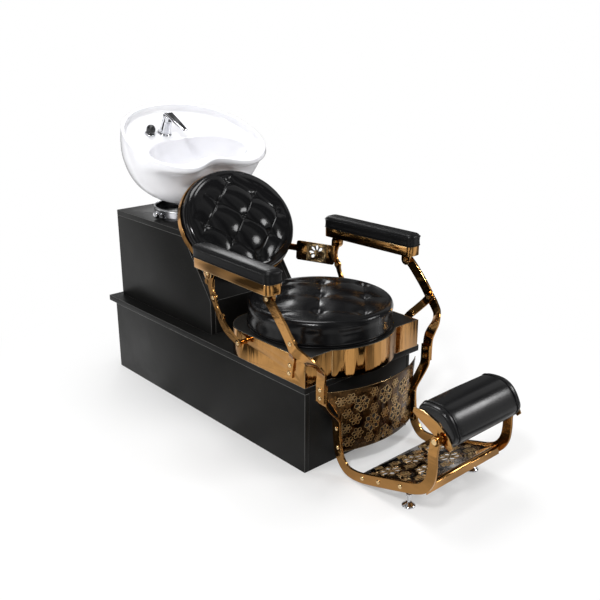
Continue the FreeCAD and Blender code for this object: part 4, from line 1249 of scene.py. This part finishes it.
class BACKWASH_OT_side_bars(bpy.types.Operator):
    """Make the arm bars, leg bars, straps and rear supports on both sides"""

    bl_idname = "backwash.side_bars"
    bl_label = "Side bars"

    def execute(self, context):
        finish = gold_plate("gold_bar", "Y", 18.0, 9.0)
        edge = sizes().edge_round / MM
        arm = [(304, -444, 546, 34), (304, -470, 523, 34), (304, -515, 475, 34), (304, -544, 438, 34),
               (304, -553, 428, 34), (301, -566, 416, 34), (288, -588, 399, 34), (264, -603, 377, 34),
               (243, -605, 354, 34), (237, -601, 333, 34), (237, -598, 308, 34), (237, -598, 254, 34)]
        leg = [(229, -598, 306, 34), (229, -598, 280, 34), (229, -598, 254, 34), (224, -598, 236, 34),
               (200, -597, 205, 33), (177, -597, 180, 32), (170, -598, 162, 32), (170, -599, 140, 32),
               (170, -602, 110, 32), (170, -608, 75, 32), (170, -622, 46, 32), (170, -648, 25, 32),
               (170, -690, 23, 32), (170, -740, 34, 32), (170, -800, 51, 32), (170, -860, 69, 32),
               (170, -905, 83, 32), (170, -938, 103, 32), (170, -957, 135, 31), (170, -962, 175, 30),
               (170, -961, 212, 30), (170, -967, 255, 30)]
        strap = [(297, -553, 449, 26), (297, -544, 438, 26), (297, -534, 425, 26), (292, -526, 414, 26),
                 (275, -511, 393, 26), (258, -496, 372, 26), (253, -489, 356, 26), (253, -484, 338, 26),
                 (253, -479, 300, 26)]
        tail = [(274, -130, 546, 40), (274, -124, 520, 30), (274, -127, 492, 20), (274, -140, 465, 22),
                (274, -151, 436, 18), (274, -170, 406, 22), (274, -206, 372, 26), (274, -262, 346, 18)]
        scallops = ((REAR_LUG, 20), (CUSP, 15), (TAIL_BOLT, 13), ((-108, 512), 11), ((-182, 412), 10))
        bosses = [boss(at, 270, 278, r, finish) for at, r in scallops] + [boss(TAIL_BOLT, 250, 274, 8, finish)]
        groups = (("arm_bar", arm, [boss(FRONT_LUG, 300, 308, 17, finish)]),
                  ("leg_bar", leg, [boss(PIVOT, 166, 174, 15, finish)]),
                  ("rear_support", tail, bosses))
        for name, path, ends in groups:
            plate = [bar(path, 8, finish, edge)] + ends
            right = soften_shading(merged(name + "_plate_right", plate), 35)
            left = mirrored(right, name + "_plate_left")
            settle(right, "frame_body", "gold", name + "_right")
            settle(left, "frame_body", "gold", name + "_left")
        right = bar(strap, 6, finish, edge)
        pair = merged("strap_pair", [right, mirrored(right, "strap_left")])
        settle(pair, "frame_body", "gold", "arm_straps", degrees=35)
        return {"FINISHED"}


class BACKWASH_OT_seat_base(bpy.types.Operator):
    """Dress the bent sheet apron under the seat"""

    bl_idname = "backwash.seat_base"
    bl_label = "Seat base"

    def execute(self, context):
        # Pale gold on the apron bevels: painted highlight.
        dress("seat_apron", "frame_body", "gold", gold_plate("gold_apron", "Z", 22.0, 1.2), pale_gold())
        return {"FINISHED"}


# Filigree.
def wire_loop(points, width, height):
    """Points and faces of a flat raised line round a closed outline in the XY plane."""
    count = len(points)
    verts = []
    for i, p in enumerate(points):
        run = (Vector(points[(i + 1) % count]) - Vector(points[i - 1])).normalized()
        side = Vector((-run.y, run.x)) * width / 2
        for offset, z in ((side, 0.0), (side * 0.7, height), (-side * 0.7, height), (-side, 0.0)):
            verts.append(Vector((p[0] + offset.x, p[1] + offset.y, z)) * MM)
    return verts, ring_faces(count, 4, True)


def leaf(turn, inner, outer, half, steps=8):
    shape = []
    for k in range(2 * steps):
        t = k / steps if k <= steps else 2 - k / steps
        across = half * math.sin(math.pi * min(t, 1.0) ** 1.25) * (1 if k <= steps else -1)
        u = inner + (outer - inner) * t
        shape.append((math.cos(turn) * u - math.sin(turn) * across, math.sin(turn) * u + math.cos(turn) * across))
    return shape


def flower_template(name, petals, inner, outer, half, turn, between):
    """A flat flower of raised lines; between adds a small leaf after each petal."""
    width = sizes().wire / MM
    lines = [circle(inner * 0.72, 14)]
    for k in range(petals):
        angle = turn + TURN * k / petals
        lines.append(leaf(angle, inner, outer * 1.05, half * 1.12))
        if between:
            lines.append(leaf(angle + math.pi / petals, outer * 0.45, outer * 0.98, half * 0.45, 5))
    points = []
    faces = []
    for outline in lines:
        verts, quads = wire_loop(outline, width, 0.7)
        faces += [tuple(len(points) + i for i in quad) for quad in quads]
        points += verts
    return outward(piece_from(name, points, faces, pale_gold()))


def both_sides(places):
    """Places of (X, Y, size), each with its mirror where it is off the middle."""
    return [(sign * x, y, size) for x, y, size in places for sign in ((-1, 1) if x else (1,))]


def laid_flat(template, places, finish):
    """The template on flat (X, Y, size) places; the template itself is used up."""
    spots = [(Vector((x, y, 0.0)) * MM, Vector((0, 0, 1)), Vector((1, 0, 0)), size) for x, y, size in places]
    piece = spread("flowers", template, spots, finish)
    drop(template)
    return piece


def bent(piece, rule):
    """Move each flat point to where the rule puts its X, Y and lift, in millimetres."""
    for vertex in piece.data.vertices:
        vertex.co = rule(*(vertex.co / MM)) * MM
    return piece


def small_bloom():
    return flower_template("small_bloom", 6, 4.0, 17.0, 4.4, 0.0, False)


class BACKWASH_OT_leg_panel(bpy.types.Operator):
    """Make the curved pierced leg panel with raised flowers"""

    bl_idname = "backwash.leg_panel"
    bl_label = "Leg panel"

    def execute(self, context):
        finish = etched_gold("etched_panel", (0, 2))
        # Pale gold on the panel bevels: painted highlight.
        dress("leg_panel", "frame_body", "gold", finish, pale_gold(), 0.0005, 40)
        whole = [(92, 212, 1.0), (0, 218, 1.1), (52, 140, 1.15), (0, 92, 0.85)]
        filler = [(46, 186, 1.0), (128, 236, 1.0), (158, 230, 0.9), (46, 240, 0.9), (112, 164, 1.1), (0, 156, 1.0),
                  (104, 116, 1.1), (62, 92, 1.0), (132, 92, 1.0), (140, 138, 0.9), (30, 76, 0.7), (138, 188, 0.9)]
        flower = flower_template("panel_flower", 6, 7.0, 26.0, 6.5, 0.3, True)
        lace = merged("leg_panel_filigree", [laid_flat(flower, both_sides(whole), lace_gold()),
                                             laid_flat(small_bloom(), both_sides(filler), lace_gold())])

        def on_curve(x, z, lift):
            r = PANEL_R + lift - 0.1
            return Vector((x, PANEL_Y - math.sqrt(r * r - x * x), z))

        settle(outward(bent(lace, on_curve)), "frame_body", "gold", degrees=40)
        return {"FINISHED"}


class BACKWASH_OT_foot_tray(bpy.types.Operator):
    """Make the pierced foot tray with raised flowers, and the trim plate at its front"""

    bl_idname = "backwash.foot_tray"
    bl_label = "Foot tray"

    def execute(self, context):
        matrix = on_plane(TRAY_AT, (1, 0, 0), TRAY_RUN)
        # Pale gold on the tray bevels: painted highlight.
        tray = edged_copy("foot_tray", etched_gold("etched_tray", (0, 1)), pale_gold(), FINE_EDGE, 40)
        tray.data.materials.append(lip_gold())
        level = matrix.inverted()
        for face in tray.data.polygons:
            x, along, off = level @ (face.center / MM)
            if along > LIP_FROM or abs(off) > LIP_OFF or abs(x) > LIP_SIDE:
                face.material_index = 2
        settle(tray, "frame_body", "gold", "foot_tray")
        corner = ((-1.5, -11), (-0.8, -11.8), (0.8, -11.8), (1.5, -11), (1.5, 11), (0.8, 11.8), (-0.8, 11.8),
                  (-1.5, 11))
        rings = [[(x, TRIM_AT[0] + a, TRIM_AT[1] + b) for a, b in corner] for x in (-TRIM_HALF, TRIM_HALF)]
        settle(lofted("tray_front_trim", rings, lip_gold()), "frame_body", "gold", degrees=30)
        whole = [(104, 70, 1.0), (0, 70, 1.0), (52, 168, 1.0)]
        filler = [(52, 104, 1.1), (52, 42, 1.0), (0, 140, 1.0), (0, 200, 1.1), (112, 132, 1.2), (112, 196, 1.1),
                  (142, 168, 0.8), (142, 40, 0.9), (0, 22, 0.9), (100, 20, 0.8)]
        flower = flower_template("tray_flower", 6, 8.0, 34.0, 8.0, 0.0, True)
        lace = merged("foot_tray_filigree", [laid_flat(flower, both_sides(whole), lace_gold()),
                                             laid_flat(small_bloom(), both_sides(filler), lace_gold())])
        up = -1 if matrix[2][2] < 0 else 1
        bent(lace, lambda x, y, lift: matrix @ Vector((x, y, up * (TRAY_FACE + lift))))
        settle(outward(lace), "frame_body", "gold", degrees=40)
        return {"FINISHED"}


class BACKWASH_OT_back_links(bpy.types.Operator):
    """Make the pierced plates from the back pan to the rear supports"""

    bl_idname = "backwash.back_links"
    bl_label = "Back links"

    def execute(self, context):
        finish = gold_plate("gold_link", "Y", 20.0, 6.0)
        run = Vector(LINK_B) - Vector(LINK_A)
        matrix = on_plane(LINK_A, run, (0, 0, 1))
        middle = run.length * LINK_MIDDLE
        flower = flower_template("link_flower", 8, 7.0, 30.0, 6.5, 0.0, True)
        corner = flower_template("link_corner", 6, 3.0, 8.0, 1.8, 0.0, False)
        corners = [(middle + a, b, 1.0) for a in (-LINK_CORNER, LINK_CORNER)
                   for b in (-LINK_CORNER, LINK_CORNER)]
        parts = [laid_flat(flower, [(middle, 0, 1.0)], drawn_gold()), laid_flat(corner, corners, drawn_gold())]
        top = LINK_HALF - 1
        for x in (middle - LINK_BAND, middle + LINK_BAND):
            outline = [(x - 1.2, -top), (x + 1.2, -top), (x + 1.2, top), (x - 1.2, top)]
            parts.append(outward(piece_from("band", *wire_loop(outline, 2.2, 1.0), pale_gold())))
        outer = merged("link_outer", parts)
        inner = placed("link_inner", outer.data.copy())
        bent(outer, lambda x, y, lift: matrix @ Vector((x, y, LINK_FACE + lift)))
        bent(inner, lambda x, y, lift: matrix @ Vector((x, y, -LINK_FACE - lift)))
        right = outward(merged("link_lace_right", [outer, inner]))
        left = mirrored(right, "link_lace_left")
        for sign, side, lace in ((1, "right", right), (-1, "left", left)):
            # Pale gold on the plate bevels: painted highlight.
            plate = edged_copy("back_link_" + side, finish, pale_gold(), FINE_EDGE, 40)
            self.pale_middle(plate, run, middle, sign)
            settle(plate, "frame_body", "gold", "back_link_" + side)
            settle(lace, "frame_body", "gold", degrees=40)
        return {"FINISHED"}

    def pale_middle(self, plate, run, middle, sign):
        """Give the plate's faces between the two bands the pale finish."""
        way = Vector((sign * run.x, run.y, run.z)).normalized()
        start = Vector((sign * LINK_A[0], LINK_A[1], LINK_A[2]))
        bm = bmesh.new()
        bm.from_mesh(plate.data)
        for off in (-LINK_BAND, LINK_BAND):
            bmesh.ops.bisect_plane(bm, geom=bm.verts[:] + bm.edges[:] + bm.faces[:], dist=1e-6,
                                   plane_co=(start + way * (middle + off)) * MM, plane_no=way)
        for face in bm.faces:
            if abs((face.calc_center_median() / MM - start).dot(way) - middle) < LINK_BAND:
                face.material_index = 1
        bm.to_mesh(plate.data)
        bm.free()


# Fasteners and feet. A row holds the X of the heads, the X of the nuts and the places.
ARM_FASTENERS = ((308, 288, [FRONT_LUG]), (308, 294, [ELBOW]), (290, 270, [REAR_LUG]), (278, 270, [CUSP]),
                 (278, 247, [TAIL_BOLT]), (256, 247, STRAP_BOLTS))
LEG_FASTENERS = ((241, 225, LAP_BOLTS), (174, None, PANEL_BOLTS + TRAY_BOLTS))


def dome_template():
    r = sizes().bolt_radius / MM
    profile = [(4.0, -2.0), (r * 0.98, -1.6), (r, 0.4), (r * 0.99, 0.9), (r * 0.9, 2.0), (r * 0.7, 3.0),
               (r * 0.42, 3.6), (r * 0.1, 3.8)]
    return turned("dome_template", profile, pale_gold(), steps=24)


def nut_template():
    profile = [(6.4, 0.0), (7.0, 0.5), (7.0, 4.4), (6.4, 5.0), (3.4, 5.0), (3.2, 3.2)]
    return turned("nut_template", profile, pale_gold(), steps=6)


def side_spots(rows, column, way):
    """Spots on both sides at the X in this column, facing outward or inward."""
    spots = []
    for row in rows:
        for y, z in row[2] if row[column] else ():
            for sign in (1, -1):
                place = Vector((sign * row[column], y, z)) * MM
                spots.append((place, Vector((sign * way, 0, 0)), Vector((0, 1, 0)), 1.0))
    return spots


class BACKWASH_OT_fasteners(bpy.types.Operator):
    """Lay out the domed bolts, nuts and panel screws"""

    bl_idname = "backwash.fasteners"
    bl_label = "Fasteners"

    def execute(self, context):
        dome = dome_template()
        nut = nut_template()
        for node, rows in (("arm_bolts", ARM_FASTENERS), ("leg_bolts", LEG_FASTENERS)):
            parts = [spread("heads", dome, side_spots(rows, 0, 1), pale_gold()),
                     spread("nuts", nut, side_spots(rows, 1, -1), pale_gold())]
            settle(merged(node + "_set", parts), "frame_body", "gold", node, degrees=40)
        drop(dome)
        drop(nut)
        dress("service_screws", "frame_body", "chrome", chrome(), None, 0.0004)
        return {"FINISHED"}


class BACKWASH_OT_feet(bpy.types.Operator):
    """Make the two chrome levelling feet under the tray"""

    bl_idname = "backwash.feet"
    bl_label = "Levelling feet"

    def execute(self, context):
        profile = [(18.6, 0), (20, 0.8), (20, 3), (19.2, 4.4), (16.6, 6.4), (13, 9), (9.4, 12), (7, 14), (5, 14.2),
                   (5, 33.8), (8.6, 34), (9, 34.5), (9, 39.5), (8.6, 40), (5, 40.2), (5, 64)]
        for sign, side in ((1, "right"), (-1, "left")):
            at = Matrix.Translation((sign * FOOT_AT[0], FOOT_AT[1], 0.0))
            foot = turned("glide_" + side, profile, chrome(), at, steps=40)
            settle(foot, "foot_" + side + "_body", "chrome", "levelling_foot_" + side, degrees=35)
        return {"FINISHED"}


# Name, place, aim, power and width.
LAMPS = (("key", (-2.4, -1.8, 3.0), (0, -0.1, 0.5), 66.0, 0.55),
         ("fill", (2.6, -2.8, 2.2), (0, -0.2, 0.4), 34.0, 1.0),
         ("top", (0.2, 0.4, 3.4), (0, 0.0, 0.4), 42.0, 1.4),
         ("side", (-3.0, 0.9, 1.2), (0, 0.0, 0.5), 13.0, 1.2),
         ("rear", (1.6, 2.8, 2.2), (0, 0.2, 0.5), 20.0, 1.2))


class BACKWASH_OT_stage(bpy.types.Operator):
    """Set the pale floor, the white surround, soft lamps and the camera"""

    bl_idname = "backwash.stage"
    bl_label = "Stage"

    def execute(self, context):
        scene = context.scene
        scene.view_settings.view_transform = "Standard"
        scene.world = self.surround()
        corners = [(x * FLOOR_HALF, y * FLOOR_HALF, FLOOR_Z) for x, y in ((-1, -1), (1, -1), (1, 1), (-1, 1))]
        piece_from("studio_floor", corners, [(0, 1, 2, 3)], self.floor_finish())
        for name, place, aim, power, width in LAMPS:
            lamp = bpy.data.lights.new(name, "AREA")
            lamp.shape = "DISK"
            lamp.energy = power
            lamp.size = width
            obj = placed(name, lamp)
            obj.location = place
            obj.rotation_euler = (Vector(aim) - Vector(place)).to_track_quat("-Z", "Y").to_euler()
        camera = bpy.data.cameras.new("photo_view")
        camera.lens = sizes().lens
        camera.sensor_width = 36.0
        view = placed("photo_view", camera)
        view.location = (-1.6862, -2.13, 1.3022)
        view.rotation_euler = (math.radians(70.77), 0.0, math.radians(-41.78))
        scene.camera = view
        return {"FINISHED"}

    def surround(self):
        """White to the camera, even light for the rest, and banded in reflections."""
        world = bpy.data.worlds.new("studio")
        world.use_nodes = True
        tree = world.node_tree
        do = partial(calc, tree)
        path = put(tree, "ShaderNodeLightPath").outputs
        seen = do("MAXIMUM", path["Is Camera Ray"], path["Is Transmission Ray"])
        toward = put(tree, "ShaderNodeTexCoord").outputs["Generated"]
        bands = use(tree, studio_bands(), toward, Low=0.07, High=0.5)["Level"]
        plain = do("MULTIPLY", do("SUBTRACT", 1.0, path["Is Glossy Ray"]), 0.5)
        level = do("ADD", plain, do("MULTIPLY", path["Is Glossy Ray"], bands))
        background = tree.nodes["Background"].inputs
        background["Color"].default_value = (1.0, 1.0, 1.0, 1.0)
        tree.links.new(do("MAXIMUM", seen, level), background["Strength"])
        return world

    def floor_finish(self):
        """A pale floor that fades to white away from the unit and is banded in reflections."""
        material, tree, shader, place = new_finish("pale_floor")
        do = partial(calc, tree)
        base = rgba("floor")
        handled = use(tree, handled_surface(), place, Scale=0.8)
        warm = (base[0] * 0.985, base[1] * 0.985, base[2] * 0.98, 1.0)
        tree.links.new(blend_colour(tree, handled["Smudge"], base, warm), shader.inputs["Base Color"])
        shader.inputs["Roughness"].default_value = 0.9
        shader.inputs["Specular IOR Level"].default_value = 0.1
        path = put(tree, "ShaderNodeLightPath").outputs
        seen = do("MAXIMUM", path["Is Camera Ray"], do("MAXIMUM", path["Is Glossy Ray"], path["Is Transmission Ray"]))
        centre = vector_calc(tree, "ADD", {0: place, 1: (0.0, 0.2, 0.0)})
        away = put(tree, "ShaderNodeVectorMath", {0: centre}, operation="LENGTH").outputs["Value"]
        far = do("MULTIPLY", ramp(tree, away, 0.4, 1.4, 0.2, 1.0), seen)
        bands = use(tree, studio_bands(), centre, Low=0.08, High=1.15)["Level"]
        dimmed = do("MULTIPLY", path["Is Glossy Ray"], do("SUBTRACT", 1.0, bands))
        white = put(tree, "ShaderNodeEmission", {"Strength": do("SUBTRACT", 1.0, dimmed)})
        mixed = put(tree, "ShaderNodeMixShader", {0: far, 1: shader.outputs[0], 2: white.outputs[0]})
        tree.links.new(mixed.outputs[0], tree.nodes["Material Output"].inputs["Surface"])
        return material


class BACKWASH_PT_panel(bpy.types.Panel):
    """Sizes, colours and pieces of the backwash unit"""

    bl_idname = "BACKWASH_PT_panel"
    bl_label = "Backwash unit"
    bl_space_type = "VIEW_3D"
    bl_region_type = "UI"
    bl_category = "Backwash"

    def draw(self, context):
        layout = self.layout
        for heading, group in (("Sizes", context.scene.backwash_sizes), ("Colours", context.scene.backwash_colours)):
            layout.label(text=heading)
            column = layout.column(align=True)
            for key in group.__annotations__:
                column.prop(group, key)
        layout.label(text="Pieces")
        for operator in PIECES:
            layout.operator(operator.bl_idname)


PIECES = (BACKWASH_OT_stage, BACKWASH_OT_boards, BACKWASH_OT_bowl_stand, BACKWASH_OT_bowl, BACKWASH_OT_mixer,
          BACKWASH_OT_seat_base, BACKWASH_OT_seat, BACKWASH_OT_back, BACKWASH_OT_arms, BACKWASH_OT_side_bars,
          BACKWASH_OT_back_links, BACKWASH_OT_leg_panel, BACKWASH_OT_foot_tray, BACKWASH_OT_footrest,
          BACKWASH_OT_fasteners, BACKWASH_OT_feet)
CLASSES = (BackwashSizes, BackwashColours) + PIECES + (BACKWASH_PT_panel,)


def register():
    for item in CLASSES:
        bpy.utils.register_class(item)
    bpy.types.Scene.backwash_sizes = PointerProperty(type=BackwashSizes)
    bpy.types.Scene.backwash_colours = PointerProperty(type=BackwashColours)


def unregister():
    del bpy.types.Scene.backwash_colours
    del bpy.types.Scene.backwash_sizes
    for item in reversed(CLASSES):
        bpy.utils.unregister_class(item)


def main():
    register()
    for operator in (bpy.ops.backwash.stage, bpy.ops.backwash.boards, bpy.ops.backwash.bowl_stand,
                     bpy.ops.backwash.bowl, bpy.ops.backwash.mixer, bpy.ops.backwash.seat_base, bpy.ops.backwash.seat,
                     bpy.ops.backwash.back, bpy.ops.backwash.arms, bpy.ops.backwash.side_bars,
                     bpy.ops.backwash.back_links, bpy.ops.backwash.leg_panel, bpy.ops.backwash.foot_tray,
                     bpy.ops.backwash.footrest, bpy.ops.backwash.fasteners, bpy.ops.backwash.feet):
        operator()


if __name__ == "__main__":
    main()
